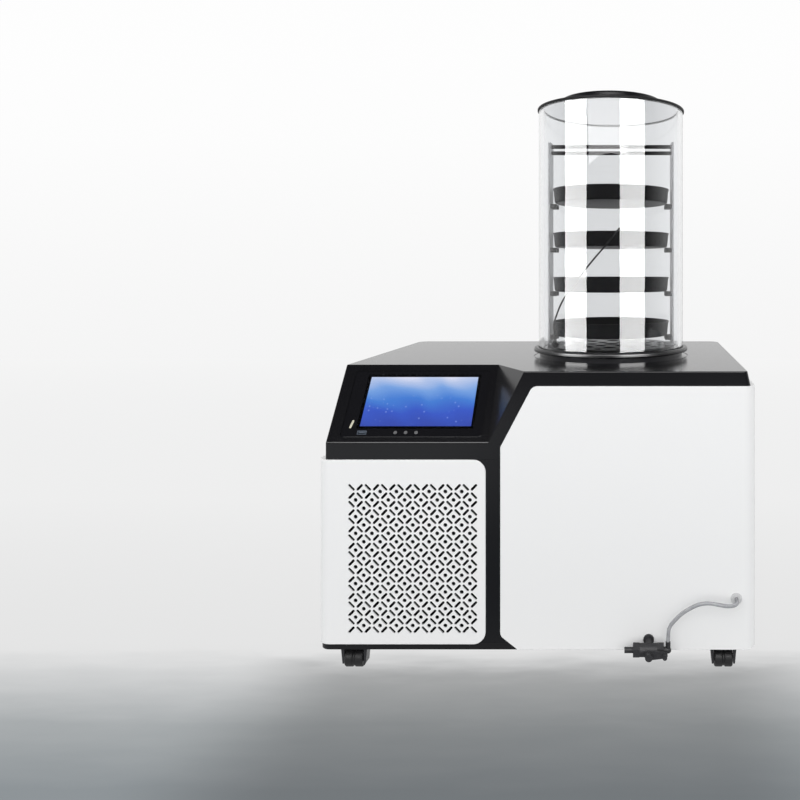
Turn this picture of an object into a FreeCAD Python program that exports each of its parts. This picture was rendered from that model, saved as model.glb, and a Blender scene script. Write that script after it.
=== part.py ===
"""A bench-top freeze dryer: a wide cabinet on four casters, a sloped control pod, and a clear drying
chamber with four trays over the cold trap.

Millimetres. The origin is on the floor, in the middle of the footprint. +X is the machine's right
hand side as one faces it, +Y is the back and +Z is up. Each sub-part is written to parts/NAME.step.
"""

import FreeCAD
import Part
import math
import os

V = FreeCAD.Vector

# ---------------------------------------------------------------- driving sizes
# The cabinet
BODY_W = 628.0  # over the white side panels
BODY_D = 455.0  # front face of the black fascia to the back panel
TOP_Z = 435.0  # top face of the cabinet above the floor
LIFT = 37.5  # the base pan's underside above the floor
REACH = 46.0  # the drain valve in front and the vacuum port behind both stand out this far
CORNER_R = 18.0  # upright front corners of the white panels
SHEET = 2.0  # pressed steel panels
MOULD = 3.0  # wall of the moulded cover and fascia
LAP = 8.0  # how far a panel covers the edge of the opening behind it
GAP = 0.3  # between pieces that are fitted together by hand
RUNNING = 0.05  # radial clearance of a shaft in its hole
ROUND_END = 0.98  # share of its half width that a slot's end is rounded by
SMALL_EDGE = 0.8  # rounding of a pressed panel's edge
RIM_H = 10.0  # height of the base pan
FRAME_RAIL = 14.0  # width of the fascia's rails behind the panels

# The top cover and its control pod
COVER_STEP = 12.0  # the cover is this much narrower than the body on each side
COVER_DRAFT = 4.5  # the right hand end leans out by this much at its lower edge
BAND_H = 21.0  # height of the cover's black band
COVER_FRONT_R = 6.0
COVER_REAR_R = 20.0
POD_RISE = 102.0  # height of the sloped face
POD_RUN = 77.0  # how far the sloped face leans back
POD_BAND = 24.0  # upright band under the sloped face
POD_PAST = 3.5  # the sloped face ends this far over the black strip
POD_FACET_W = 51.5  # width of the facet beside it, at the top
POD_DEPTH = 118.0  # front to back at its foot
POD_RIB = 22.0  # depth of the stiffening rib beside the pod
POD_ROOM_R = 10.0  # rounding of the step that the pod sits in
POD_EDGE_R = 4.0  # rounding at the foot of the sloped face
COVER_EDGE_R = 1.5  # rounding of the cover's other edges

# The black strip between the two white front panels
LEFT_PANEL_W = 241.2  # from the body's left side to the strip
STRIP_W = 20.9
INCLINE_RUN = 45.9  # the right panel's sloped edge leans this far to the right
INCLINE_RISE = 87.0  # over this height
FLARE = 24.7  # the strip widens by this much at its foot
FLARE_RISE = 19.5  # over this height
PANEL_R = 18.0  # rounded corners beside the strip
PANEL_GAP = 8.2  # the left panel's lower edge above the base pan's underside
RIGHT_PANEL_GAP = 0.5  # and the right panel's

# The pattern of vents in the left panel: slots in a crossed lattice with a dot in each open cell
VENT_PITCH_X = 11.65
VENT_PITCH_Z = 11.95
VENT_SLOT_L = 11.9
VENT_SLOT_W = 3.6
VENT_DOT_R = 2.8
VENT_LEFT = 49.9  # first column's middle from the body's left side
VENT_RIGHT = 16.0  # least from the last column's middle to the strip
VENT_ABOVE = 39.2  # first row's middle under the pod
VENT_BELOW = 20.0  # least from the last row's middle to the panel's lower edge

# The display, in the plane of the sloped face: u runs to the right and v runs up the slope
BEZEL_SIDE = 18.0  # from the cover's left side
BEZEL_RIGHT = 11.0  # from the right hand end of the sloped face
BEZEL_LOW = 8.5  # up the slope from its foot
BEZEL_HIGH = 10.8  # down the slope from its top
BEZEL_T = 2.0
BEZEL_SINK = 0.4  # the bezel's face lies this far under the pod's face
BEZEL_R = 5.0
LCD_LEFT = 24.5  # the picture's margins in the bezel
LCD_RIGHT = 17.5
LCD_BELOW = 17.7
LCD_ABOVE = 9.8
GLASS_EDGE = 4.0  # the glass is this much larger than the picture on each side
GLASS_T = 1.4
LCD_T = 6.0
LCD_FRAME = 2.0  # the display's frame round the picture
BOARD_T = 1.6
BOARD_ROOM = 10.0  # from the display's back to the board
POST_R = 2.5
KEY_UP = 7.5  # the row under the display, above the bezel's lower edge: a port and three lights
PORT_OFFSET = -75.1  # from the display's middle
PORT_W = 13.2
PORT_H = 5.8
PORT_DEPTH = 14.0
PORT_WALL = 0.6
LIGHT_OFFSET = -26.9
LIGHT_PITCH = 15.0
LIGHT_R = 2.6
BAR_OFFSET = -92.5  # slanted light bar beside the display
BAR_UP = 20.5
BAR_L = 13.0
BAR_W = 3.0
BAR_LEAN = 12.0

# The tray rack
TRAY_COUNT = 4
TRAY_R = 98.5
TRAY_H = 24.0
TRAY_WALL = 1.2
TRAY_Z = 35.0  # first tray's underside above the cabinet's top face
TRAY_PITCH = 74.0
TRAY_SEAT = 0.2  # between a tray and the pins that it rests on
RACK_ROOM = 4.0  # between the trays' rims and the uprights
RACK_SIDE_T = 3.0
RACK_SIDE_W = 34.0
RACK_FOOT_L = 12.0
RACK_BASE_EDGE = 4.5  # the base disc reaches this far past the uprights' inner faces
RACK_BASE_T = 3.0
RACK_SEAT = 12.0  # width of the base disc's seat on the flange, outside the trap's mouth
RACK_ABOVE = 80.0  # top of the uprights above the last tray's rim
STUD_R = 4.0
STUD_Y = 11.0
STUD_REACH = 11.0
ROD_R = 3.3
ROD_DROPS = (16.9, 6.1)  # the cross rods below the top of the uprights

# The chamber, over the cold trap
AXIS_RIGHT = 217.0  # the chamber's axis from the body's right side
AXIS_BACK = 210.0  # and behind the front face
CHAMBER_ROOM = 7.5  # between the rack's base and the tube
CHAMBER_WALL = 8.0
CHAMBER_ABOVE = 51.0  # top of the tube above the rack
FLANGE_NECK_IN = 1.5  # the flange's neck is this much narrower than the tube
FLANGE_LIP = 7.5  # and its lip this much wider
FLANGE_H = 16.0
FLANGE_LIP_H = 7.0
DRIP_W = 2.0  # groove in the cover under the lip's edge; it catches what drips off the flange
DRIP_DEEP = 0.8
GROOVE_ROOM = 0.5
GASKET_ROOM = 0.4
GASKET_H = 2.0
GASKET_SINK = 1.2
LID_T = 4.5
LID_SEAT = 1.0  # rubber between the tube and the lid plate
LID_SEAT_IN = 1.0  # the rubber stops this far short of the tube's bore, so it can't be seen from inside
LID_LAP = 0.6  # the rubber's lip over the lid plate
LID_RIM = 2.0  # the lid's rubber rim stands this far out past the tube
LID_RIM_T = 2.5
LID_CAP_R = 88.0
LID_CAP_H = 16.5
LID_CAP_SLOPE = 3.0  # the cap's wall leans in this far
LID_CAP_EDGE = 4.0

# The lead and its probe
LEAD_R = 1.3
PROBE_R = 1.6
PROBE_L = 34.0
GLAND_ANGLE = 205.0
GLAND_H = 10.0
GLAND_R = 5.5

# The cold trap and what cools it
TRAP_WALL = 1.5
TRAP_DEPTH = 178.0
TRAP_RIM = 17.0  # width of the well's rim under the cover
RIM_T = 2.0
TRAP_ROUND = 12.0
STUB_R = 5.0  # the well's drain
STUB_BORE_R = 3.5
STUB_L = 8.0
COIL_R = 4.0
COIL_STUB_R = 3.2  # the riser that joins the turns, and the tail
COIL_TURNS = 7
COIL_PITCH = 12.0
COIL_TOP = 86.0  # first turn below the cabinet's top face
FOAM_T = 45.0
FOAM_FLOOR = 22.0
PORT_TUBE_R = 12.5  # bore of the vacuum port
PORT_TUBE_WALL = 1.5
PORT_FLANGE_R = 20.0
PORT_DROP = 60.0  # vacuum port below the cabinet's top face
RELEASE_OFFSET = 70.0  # release valve beside the vacuum port
RELEASE_R = 8.0
RELEASE_STEM_R = 3.0
KNOB_R = 11.0
KNOB_L = 13.0

# The condenser, its fan and the compressor, in the left hand bay
FAN_SIDE = 129.0  # the fan's axis from the body's left side
CONDENSER_W = 196.0
CONDENSER_BELOW = 29.0  # from the base pan's floor
CONDENSER_ABOVE = 39.0  # from the pod
CONDENSER_Y = 14.0  # behind the front face
CONDENSER_D = 36.0
CONDENSER_FINS = 20
FIN_T = 0.6
END_PLATE_T = 2.0
CONDENSER_TUBES = 8
CONDENSER_TUBE_R = 4.0
TUBE_OUT_LEFT = 6.0  # the tubes stand out past the end plates
TUBE_OUT_RIGHT = 8.0
SHROUD_GAP = 2.0  # between condenser and shroud
SHROUD_T = 2.0
SHROUD_IN = 4.0  # the shroud is this much smaller than the condenser all round
DUCT_L = 34.0
DUCT_WALL = 2.5
FAN_RING_IN = 12.0  # from the condenser's edge to the fan's ring
FAN_TIP = 4.0  # between blades and ring
BLADE_COUNT = 5
BLADE_HALF_W = 22.0
BLADE_PITCH = 22.0
HUB_R = 20.0
HUB_L = 20.0
HUB_Y = 4.0  # behind the shroud's face
FAN_SHAFT_R = 4.0
MOTOR_R = 24.0
MOTOR_L = 38.0
MOTOR_Y = 27.0  # behind the shroud's face
COMPRESSOR_SIDE = 134.0  # from the body's left side
COMPRESSOR_BACK = 117.5  # from the back panel
COMPRESSOR_R = 72.0
COMPRESSOR_H = 168.0
FOOT_H = 12.0
LINE_R = 3.5
SUCTION_R = 4.0
LINE_CLEAR = 15.0  # the hot gas line's middle from the foam

# Drain valve and hose
DRAIN_SIDE = 154.0  # from the body's right side
DRAIN_UP = 11.0  # above the base pan's underside
STEM_UP = 5.0  # the valve's mounting stem above its middle
DRAIN_STEM_R = 4.5
DRAIN_NUT_R = 7.5
DRAIN_BODY_R = 9.0
LEVER_STEM_R = 3.2
BARB_OUT = 27.0  # the upright barb from the valve's middle
BARB_H = 12.0
BARB_R = 3.4
SPOUT_R = 4.0
SPOUT_BORE_R = 2.4
SPOUT_OUT = 34.0
HOSE_R = 2.6
GROMMET_SIDE = 29.0
GROMMET_UP = 74.0
GROMMET_HOLE_R = 5.5

# Mains inlet, on the back
INLET_SIDE = 84.0  # from the body's left side
INLET_UP = 61.0
INLET_BODY_W = 27.0
INLET_BODY_H = 46.0
ROCKER_UP = 12.5
ROCKER_IN = 3.0  # the rocker's pin inside the back panel's face
ROCKER_W = 18.0
ROCKER_PIN_R = 1.5
ROCKER_TILT = 10.0

# The back panel's louvres and screws
LOUVRE_X = (-200.0, 60.0)
LOUVRE_Z = 160.0
LOUVRE_HALF_W = 60.0
LOUVRE_H = 5.0
LOUVRE_PITCH = 11.0
LOUVRE_ROWS = 11
SCREW_R = 2.0
SCREW_INSET = 14.0

# Casters
CASTER_SIDE = 45.0  # swivel axis from the body's sides
CASTER_INSET = 36.0  # and from the front and back faces
CASTER_TRAIL = 8.0  # the axles are this far in front of the swivel axes
WHEEL_R = 12.5
WHEEL_HALF_W = 13.4
FORK_HALF_IN = 14.2
FORK_HALF_OUT = 19.5
AXLE_R = 2.0
KINGPIN_R = 3.0
RACE_R = 10.0

# ---------------------------------------------------------------- sizes worked out from those
FRONT = -BODY_D / 2
REAR = BODY_D / 2
HALF = BODY_W / 2
COVER_HALF_W = HALF - COVER_STEP
BAND_Z = TOP_Z - BAND_H
POD_BACK = FRONT + POD_DEPTH
SLOPE_Z = TOP_Z - POD_RISE
POD_Z = SLOPE_Z - POD_BAND
SLOPE_L = math.hypot(POD_RUN, POD_RISE)
PANEL_Z = LIFT + PANEL_GAP  # the left panel's lower edge
RIGHT_PANEL_Z = LIFT + RIGHT_PANEL_GAP  # the right panel's
FLOOR_Z = LIFT + SHEET
RIM_Z = LIFT + RIM_H
STRIP_X0 = -HALF + LEFT_PANEL_W
STRIP_X1 = STRIP_X0 + STRIP_W
POD_X1 = STRIP_X0 + POD_PAST
VENT_COLUMNS = int((LEFT_PANEL_W - VENT_LEFT - VENT_RIGHT) / VENT_PITCH_X) + 1
VENT_ROWS = int((POD_Z - PANEL_Z - VENT_ABOVE - VENT_BELOW) / VENT_PITCH_Z) + 1
BEZEL_U = (-COVER_HALF_W + BEZEL_SIDE, POD_X1 - BEZEL_RIGHT)
BEZEL_V = (BEZEL_LOW, SLOPE_L - BEZEL_HIGH)
LCD_W = BEZEL_U[1] - LCD_RIGHT - BEZEL_U[0] - LCD_LEFT
LCD_H = BEZEL_V[1] - LCD_ABOVE - BEZEL_V[0] - LCD_BELOW
LCD_U = BEZEL_U[0] + LCD_LEFT + LCD_W / 2
LCD_V = BEZEL_V[0] + LCD_BELOW + LCD_H / 2
KEY_V = BEZEL_LOW + KEY_UP
PORT_U = LCD_U + PORT_OFFSET
RACK_TOP = TRAY_Z + (TRAY_COUNT - 1) * TRAY_PITCH + TRAY_H + RACK_ABOVE
RACK_SIDE_X = TRAY_R + RACK_ROOM
RACK_BASE_R = RACK_SIDE_X + RACK_BASE_EDGE
AXIS_X = HALF - AXIS_RIGHT
AXIS_Y = FRONT + AXIS_BACK
CHAMBER_BORE = RACK_BASE_R + CHAMBER_ROOM
CHAMBER_R = CHAMBER_BORE + CHAMBER_WALL
CHAMBER_Z = TOP_Z + RACK_TOP + CHAMBER_ABOVE
FLANGE_Z = TOP_Z + FLANGE_H
FLANGE_R = CHAMBER_R + FLANGE_LIP
FLANGE_NECK_R = CHAMBER_R - FLANGE_NECK_IN
CHAMBER_FOOT = FLANGE_Z + GASKET_H - GASKET_SINK
LID_RIM_R = CHAMBER_R + LID_RIM
LID_PLATE_R = LID_RIM_R - LID_RIM_T
LID_Z = CHAMBER_Z + LID_T - LID_LAP  # the lid plate's top
RACK_FOOT = FLANGE_Z + RACK_BASE_T
TRAP_R = RACK_BASE_R - RACK_SEAT  # inside
TRAP_OUT = TRAP_R + TRAP_WALL
TRAP_LOW = TOP_Z - TRAP_DEPTH
COIL_RING_R = TRAP_OUT + COIL_R + GAP
COIL_LOW = TOP_Z - COIL_TOP - (COIL_TURNS - 1) * COIL_PITCH
FOAM_R = TRAP_R + FOAM_T
FOAM_Z0 = TRAP_LOW - FOAM_FLOOR
PORT_Z = TOP_Z - PORT_DROP
PORT_OUT = PORT_TUBE_R + PORT_TUBE_WALL
RELEASE_X = AXIS_X + RELEASE_OFFSET
FAN_X = -HALF + FAN_SIDE
CONDENSER_H = POD_Z - FLOOR_Z - CONDENSER_BELOW - CONDENSER_ABOVE
CONDENSER_Z = FLOOR_Z + CONDENSER_BELOW
FAN_Z = CONDENSER_Z + CONDENSER_H / 2
FAN_RING_R = min(CONDENSER_W, CONDENSER_H) / 2 - FAN_RING_IN
FAN_BLADE_R = FAN_RING_R - FAN_TIP
SHROUD_Y = FRONT + CONDENSER_Y + CONDENSER_D + SHROUD_GAP
COMPRESSOR_X = -HALF + COMPRESSOR_SIDE
COMPRESSOR_Y = REAR - COMPRESSOR_BACK
COMPRESSOR_TOP = FLOOR_Z + FOOT_H + COMPRESSOR_H
DRAIN_X = HALF - DRAIN_SIDE
DRAIN_Z = LIFT + DRAIN_UP
DRAIN_STEM_Z = DRAIN_Z + STEM_UP
VALVE_Y = FRONT - REACH / 2  # the drain valve's middle
GROMMET_X = HALF - GROMMET_SIDE
GROMMET_Z = LIFT + GROMMET_UP
INLET_X = -HALF + INLET_SIDE
INLET_Z = LIFT + INLET_UP
ROCKER_Y = REAR - ROCKER_IN
ROCKER_Z = INLET_Z + ROCKER_UP
SCREW_X = (-HALF + SCREW_INSET, -40.0, HALF - SCREW_INSET)
SCREW_Z = (RIM_Z + SCREW_INSET, BAND_Z - SCREW_INSET)
CASTER_X = HALF - CASTER_SIDE


# ---------------------------------------------------------------- helpers
def box(x0, x1, y0, y1, z0, z1):
    return Part.makeBox(x1 - x0, y1 - y0, z1 - z0, V(x0, y0, z0))


def rod(radius, start, end):
    """A round bar between two points."""
    return Part.makeCylinder(radius, (end - start).Length, start, end - start)


def ring(r_out, r_in, x, y, z0, z1):
    """An upright tube or washer."""
    outer = rod(r_out, V(x, y, z0), V(x, y, z1))
    return outer.cut(rod(r_in, V(x, y, z0 - 1), V(x, y, z1 + 1)))


def joined(shapes):
    whole = shapes[0]
    return whole.multiFuse(shapes[1:]).removeSplitter() if len(shapes) > 1 else whole


def rounded_wire(corners, place):
    """A closed outline through (u, v, radius) corners; place(u, v) gives the point in space."""
    edges = []
    starts, ends = [], []
    count = len(corners)
    for i, (u, v, radius) in enumerate(corners):
        before, after = corners[i - 1], corners[(i + 1) % count]
        d0 = V(before[0] - u, before[1] - v, 0).normalize()
        d1 = V(after[0] - u, after[1] - v, 0).normalize()
        if radius <= 0:
            starts.append(V(u, v, 0))
            ends.append(V(u, v, 0))
            continue
        half = d0.getAngle(d1) / 2
        back = radius / math.tan(half)
        middle = (d0 + d1).normalize() * (radius / math.sin(half) - radius)
        start, end = V(u, v, 0) + d0 * back, V(u, v, 0) + d1 * back
        arc = [place(p.x, p.y) for p in (start, V(u, v, 0) + middle, end)]
        edges.append(Part.Arc(*arc).toShape())
        starts.append(start)
        ends.append(end)
    for i in range(count):
        p, q = ends[i], starts[(i + 1) % count]
        if (p - q).Length > 1e-6:
            edges.append(Part.LineSegment(place(p.x, p.y), place(q.x, q.y)).toShape())
    return Part.Wire(Part.__sortEdges__(edges))


def front_plate(corners, y0, y1):
    """A plate whose outline is drawn in X and Z, from depth y0 to y1."""
    wire = rounded_wire(corners, lambda u, v: V(u, y0, v))
    return Part.Face(wire).extrude(V(0, y1 - y0, 0))


def side_plate(corners, x0, x1):
    """A plate whose outline is drawn in Y and Z, from x0 to x1."""
    wire = rounded_wire(corners, lambda u, v: V(x0, u, v))
    return Part.Face(wire).extrude(V(x1 - x0, 0, 0))


def plan_block(x0, x1, y0, y1, z0, z1, r_front, r_rear):
    """An upright block with rounded front and rear corners."""
    corners = [(x0, y0, r_front), (x1, y0, r_front), (x1, y1, r_rear), (x0, y1, r_rear)]
    return Part.Face(rounded_wire(corners, lambda u, v: V(u, v, z0))).extrude(V(0, 0, z1 - z0))


def turned(profile, x, y):
    """A solid of revolution about the upright line through (x, y); the profile is (radius, z, round)."""
    wire = rounded_wire(profile, lambda u, v: V(u, 0, v))
    solid = Part.Face(wire).revolve(V(0, 0, 0), V(0, 0, 1), 360)
    solid.translate(V(x, y, 0))
    return solid


def turned_y(profile, x, z):
    """A solid of revolution about the line along Y through (x, z); the profile is (radius, y, round)."""
    wire = rounded_wire(profile, lambda u, v: V(u, v, 0))
    solid = Part.Face(wire).revolve(V(0, 0, 0), V(0, 1, 0), 360)
    solid.translate(V(x, 0, z))
    return solid


def half_space(point, normal, size=2000.0):
    """A large block whose one face lies in the plane and which reaches the way of the normal."""
    block = Part.makeBox(size, size, size, V(-size / 2, -size / 2, 0))
    turn = FreeCAD.Rotation(V(0, 0, 1), normal)
    block.Placement = FreeCAD.Placement(point, turn)
    return block


def on_slope(shape):
    """Moves a shape drawn in u, v and outward n to the pod's sloped face."""
    rise, run = POD_RISE / SLOPE_L, POD_RUN / SLOPE_L
    turn = FreeCAD.Matrix(1, 0, 0, 0, 0, run, -rise, FRONT, 0, rise, run, SLOPE_Z, 0, 0, 0, 1)
    moved = shape.copy()
    moved.Placement = FreeCAD.Placement(turn).multiply(moved.Placement)
    return moved


def slope_plate(u0, u1, v0, v1, n0, n1, radius=0.0):
    corners = [(u0, v0, radius), (u1, v0, radius), (u1, v1, radius), (u0, v1, radius)]
    return Part.Face(rounded_wire(corners, lambda u, v: V(u, v, n0))).extrude(V(0, 0, n1 - n0))


def through_front(radius, x, z):
    """Cutter for a round hole through the front panels."""
    return rod(radius, V(x, FRONT - 9, z), V(x, FRONT + 2 * MOULD + 9, z))


def rounded_edges(shape, radius, wanted):
    """Rounds each edge whose two ends and middle all pass the test."""
    def passes(edge):
        middle = edge.valueAt((edge.FirstParameter + edge.LastParameter) / 2)
        return all(wanted(p) for p in [v.Point for v in edge.Vertexes] + [middle])
    return shape.makeFillet(radius, [e for e in shape.Edges if passes(e)])


def bent_tube(points, radius, name, share=0.45):
    """A round tube along straight runs joined by tangent arcs, each as large as its runs allow."""
    edges, radii, last = [], [], points[0]
    for before, corner, after in zip(points, points[1:], points[2:]):
        d0, d1 = (before - corner).normalize(), (after - corner).normalize()
        back = share * min((before - corner).Length, (after - corner).Length)
        half = d0.getAngle(d1) / 2
        bend = back * math.tan(half)
        middle = corner + (d0 + d1).normalize() * (bend / math.sin(half) - bend)
        start, end = corner + d0 * back, corner + d1 * back
        edges.append(Part.LineSegment(last, start).toShape())
        edges.append(Part.Arc(start, middle, end).toShape())
        radii.append(bend)
        last = end
    edges.append(Part.LineSegment(last, points[-1]).toShape())
    path = Part.Wire(edges)
    heading = points[1] - points[0]
    section = Part.Wire(Part.Circle(points[0], heading, radius).toShape())
    tube = path.makePipeShell([section], True, False)
    share_of = tube.Volume / (math.pi * radius**2 * path.Length)
    bends = f"bends {min(radii):.0f} to {max(radii):.0f} mm"
    print(f"{name}: {path.Length:.0f} mm, {bends}, volume {share_of:.4f}")
    return tube


def write(name, shapes):
    """Writes one sub-part, a solid or a group of separate solids."""
    shape = shapes if isinstance(shapes, Part.Shape) else Part.makeCompound(shapes)
    if not shape.isValid() or not shape.Solids:
        raise ValueError(f"{name} is not a sound solid")
    shape.exportStep(f"parts/{name}.step")


# ---------------------------------------------------------------- cabinet
def base_pan():
    """Black steel tray with an upturned rim that carries everything and that the casters bolt to."""
    side = SHEET + GAP
    outer = plan_block(-HALF + side, HALF - side, FRONT + GAP, REAR, LIFT, RIM_Z, CORNER_R - side, 3)
    inner = plan_block(-HALF + side + SHEET, HALF - side - SHEET, FRONT + GAP + SHEET, REAR - SHEET,
                       FLOOR_Z, RIM_Z + 1, CORNER_R - side - SHEET, 1)
    return outer.cut(inner)


def pod_room(inset):
    """The step in the left side that the pod sits in, seen from the side; inset moves it outwards."""
    back = POD_BACK + inset
    corners = [(FRONT - 9, POD_Z - inset, 0), (back, POD_Z - inset, POD_ROOM_R),
               (back + INCLINE_RUN, BAND_Z - inset, POD_ROOM_R), (REAR + 9, BAND_Z - inset, 0),
               (REAR + 9, TOP_Z, 0), (FRONT - 9, TOP_Z, 0)]
    return side_plate(corners, -HALF - 1, STRIP_X0)


def white_shell():
    """Both white panels before they are parted: front, rounded corners, sides and a narrow ledge on top."""
    y0 = FRONT - SHEET
    outer = plan_block(-HALF, HALF, y0, REAR, RIGHT_PANEL_Z, BAND_Z, CORNER_R, 1).cut(pod_room(0))
    inner = plan_block(-HALF + SHEET, HALF - SHEET, FRONT, REAR + 3, RIGHT_PANEL_Z - 1, BAND_Z - SHEET,
                       CORNER_R - SHEET, 1).cut(pod_room(SHEET))
    ledge = COVER_HALF_W - SHEET
    opening = plan_block(-ledge, ledge, FRONT, REAR + 3, PANEL_Z, BAND_Z + 1, CORNER_R - HALF + ledge, 1)
    return outer.cut(inner).cut(opening)


def on_front_outline(point):
    """True on the outside edge of the white panels' front and sides."""
    return point.y < FRONT - SHEET + 0.01


def right_panel():
    """White wrap-round panel with a sloped edge that follows the pod."""
    x0, z0 = STRIP_X1, RIGHT_PANEL_Z
    outline = [(x0, BAND_Z - INCLINE_RISE, 4), (x0 + INCLINE_RUN, BAND_Z, 12), (HALF + 1, BAND_Z, 0),
               (HALF + 1, z0, 0), (x0 + FLARE, z0, 1), (x0, z0 + FLARE_RISE, 10)]
    panel = white_shell().common(front_plate(outline, FRONT - SHEET - 1, REAR + 1))
    panel = rounded_edges(panel, SMALL_EDGE, on_front_outline)
    holes = [through_front(DRAIN_STEM_R + GAP, DRAIN_X, DRAIN_STEM_Z),
             through_front(GROMMET_HOLE_R, GROMMET_X, GROMMET_Z)]
    return panel.cut(Part.makeCompound(holes))


def vent_tools():
    """Cutters for the left panel's slots and dots."""
    lean = math.degrees(math.atan2(VENT_PITCH_Z, VENT_PITCH_X))
    half, r = VENT_SLOT_L / 2, VENT_SLOT_W / 2
    end = r * ROUND_END
    y0, deep = FRONT - SHEET - 1, SHEET + 2
    slot = front_plate([(-half, -r, end), (half, -r, end), (half, r, end), (-half, r, end)], y0, y0 + deep)
    dot = rod(VENT_DOT_R, V(0, y0, 0), V(0, y0 + deep, 0))
    tools = []
    x0 = -HALF + VENT_LEFT
    z0 = POD_Z - VENT_ABOVE
    for column in range(VENT_COLUMNS):
        for row in range(VENT_ROWS):
            x, z = x0 + column * VENT_PITCH_X, z0 - row * VENT_PITCH_Z
            falling = (column + row) % 2 == 0
            tool = slot.copy()
            tool.rotate(V(0, 0, 0), V(0, 1, 0), lean if falling else -lean)
            tool.translate(V(x, 0, z))
            tools.append(tool)
            if not falling and column < VENT_COLUMNS - 1 and row < VENT_ROWS - 1:
                spot = dot.copy()
                spot.translate(V(x + VENT_PITCH_X / 2, 0, z - VENT_PITCH_Z / 2))
                tools.append(spot)
    return tools


def left_panel():
    """White wrap-round panel, pierced in front of the condenser, with its side stepped down for the pod."""
    outline = [(-HALF - 1, PANEL_Z, 0), (STRIP_X0, PANEL_Z, PANEL_R), (STRIP_X0, POD_Z, PANEL_R),
               (-HALF - 1, POD_Z, 0)]
    front = front_plate(outline, FRONT - SHEET - 1, FRONT + CORNER_R)
    side = box(-HALF - 1, -HALF + CORNER_R - 1, FRONT + CORNER_R, REAR + 1, PANEL_Z, TOP_Z)
    panel = white_shell().common(front.fuse(side))
    panel = rounded_edges(panel, SMALL_EDGE, on_front_outline)
    return panel.cut(Part.makeCompound(vent_tools()))


def front_frame():
    """Black moulded fascia behind the two white panels; its strip shows between them."""
    wide, low, high, rail = HALF - CORNER_R, RIM_Z + GAP, BAND_Z - GAP, FRAME_RAIL
    left_of = STRIP_X1 + LAP + GAP
    outline = [(-wide, low, 0), (wide, low, 0), (wide, high, 0), (left_of + INCLINE_RUN, high, 0),
               (left_of, high - INCLINE_RISE, 0), (left_of, POD_Z - GAP, 0), (-wide, POD_Z - GAP, 0)]
    left = [(-wide + rail, low + rail, 4), (STRIP_X0 - LAP, low + rail, 4), (STRIP_X0 - LAP, POD_Z - rail, 4),
            (-wide + rail, POD_Z - rail, 4)]
    inner = STRIP_X1 + rail
    right = [(inner + FLARE, low + rail, 4), (wide - rail, low + rail, 4), (wide - rail, high - rail, 4),
             (inner + INCLINE_RUN, high - rail, 4), (inner, high - INCLINE_RISE, 4),
             (inner, low + rail + FLARE, 4)]
    frame = front_plate(outline, FRONT, FRONT + MOULD)
    holes = [front_plate(window, FRONT - 1, FRONT + MOULD + 1) for window in (left, right)]
    holes.append(through_front(DRAIN_STEM_R + GAP, DRAIN_X, DRAIN_STEM_Z))
    holes.append(through_front(GROMMET_HOLE_R + GAP, GROMMET_X, GROMMET_Z))
    return frame.cut(Part.makeCompound(holes))


def through_back(radius, x, z):
    """Cutter for a round hole through the back panel."""
    return rod(radius, V(x, REAR - 9, z), V(x, REAR + 9, z))


def rear_panel():
    """Steel back with two banks of louvre slots and holes for what comes through it."""
    side = HALF - SHEET - GAP
    panel = box(-side, side, REAR - SHEET, REAR, RIM_Z, BAND_Z - SHEET - GAP)
    tools = []
    for x in LOUVRE_X:
        x0, x1 = x - LOUVRE_HALF_W, x + LOUVRE_HALF_W
        for row in range(LOUVRE_ROWS):
            z0 = LOUVRE_Z + row * LOUVRE_PITCH
            z1 = z0 + LOUVRE_H
            slot = [(x0, z0, 2), (x1, z0, 2), (x1, z1, 2), (x0, z1, 2)]
            tools.append(front_plate(slot, REAR - SHEET - 1, REAR + 1))
    tools.append(through_back(PORT_OUT + GAP, AXIS_X, PORT_Z))
    tools.append(through_back(RELEASE_R + GAP, RELEASE_X, PORT_Z))
    half_w, half_h = INLET_BODY_W / 2 + GAP, INLET_BODY_H / 2 + GAP
    tools.append(box(INLET_X - half_w, INLET_X + half_w, REAR - 9, REAR + 9,
                     INLET_Z - half_h, INLET_Z + half_h))
    tools += [through_back(SCREW_R + GAP, x, z) for x in SCREW_X for z in SCREW_Z]
    return panel.cut(Part.makeCompound(tools))


def panel_screws():
    """Pan-head screws that hold the back panel, one group of identical pieces."""
    screws = []
    half, slot = SCREW_R, SCREW_R / 5
    for x in SCREW_X:
        for z in SCREW_Z:
            shank = rod(SCREW_R, V(x, REAR - 8, z), V(x, REAR + 0.5, z))
            head = turned_y([(0, REAR, 0), (SCREW_R * 2, REAR, 0), (SCREW_R * 2, REAR + 2, 1.2),
                             (0, REAR + 2, 0)], x, z)
            across = box(x - half, x + half, REAR + 1, REAR + 3, z - slot, z + slot)
            upright = box(x - slot, x + slot, REAR + 1, REAR + 3, z - half, z + half)
            screws.append(joined([shank, head]).cut(across).cut(upright))
    return screws


def cover_block(inset):
    """The cover's outer form, or with an inset the hollow inside it."""
    x0, x1 = -COVER_HALF_W + inset, COVER_HALF_W - inset
    y0, y1, z1 = FRONT + inset, REAR - inset, TOP_Z - inset
    z0 = BAND_Z - (1.0 if inset else 0.0)
    r0, r1 = max(COVER_FRONT_R - inset, 0.5), max(COVER_REAR_R - inset, 0.5)
    wires = []
    for z, lean in ((z0, COVER_DRAFT), (z1, 0.0)):
        corners = [(x0, y0, r0), (x1 + lean, y0, r0), (x1 + lean, y1, r1), (x0, y1, r1)]
        wires.append(rounded_wire(corners, lambda u, v, z=z: V(u, v, z)))
    return Part.makeLoft(wires, True, True)


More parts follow.
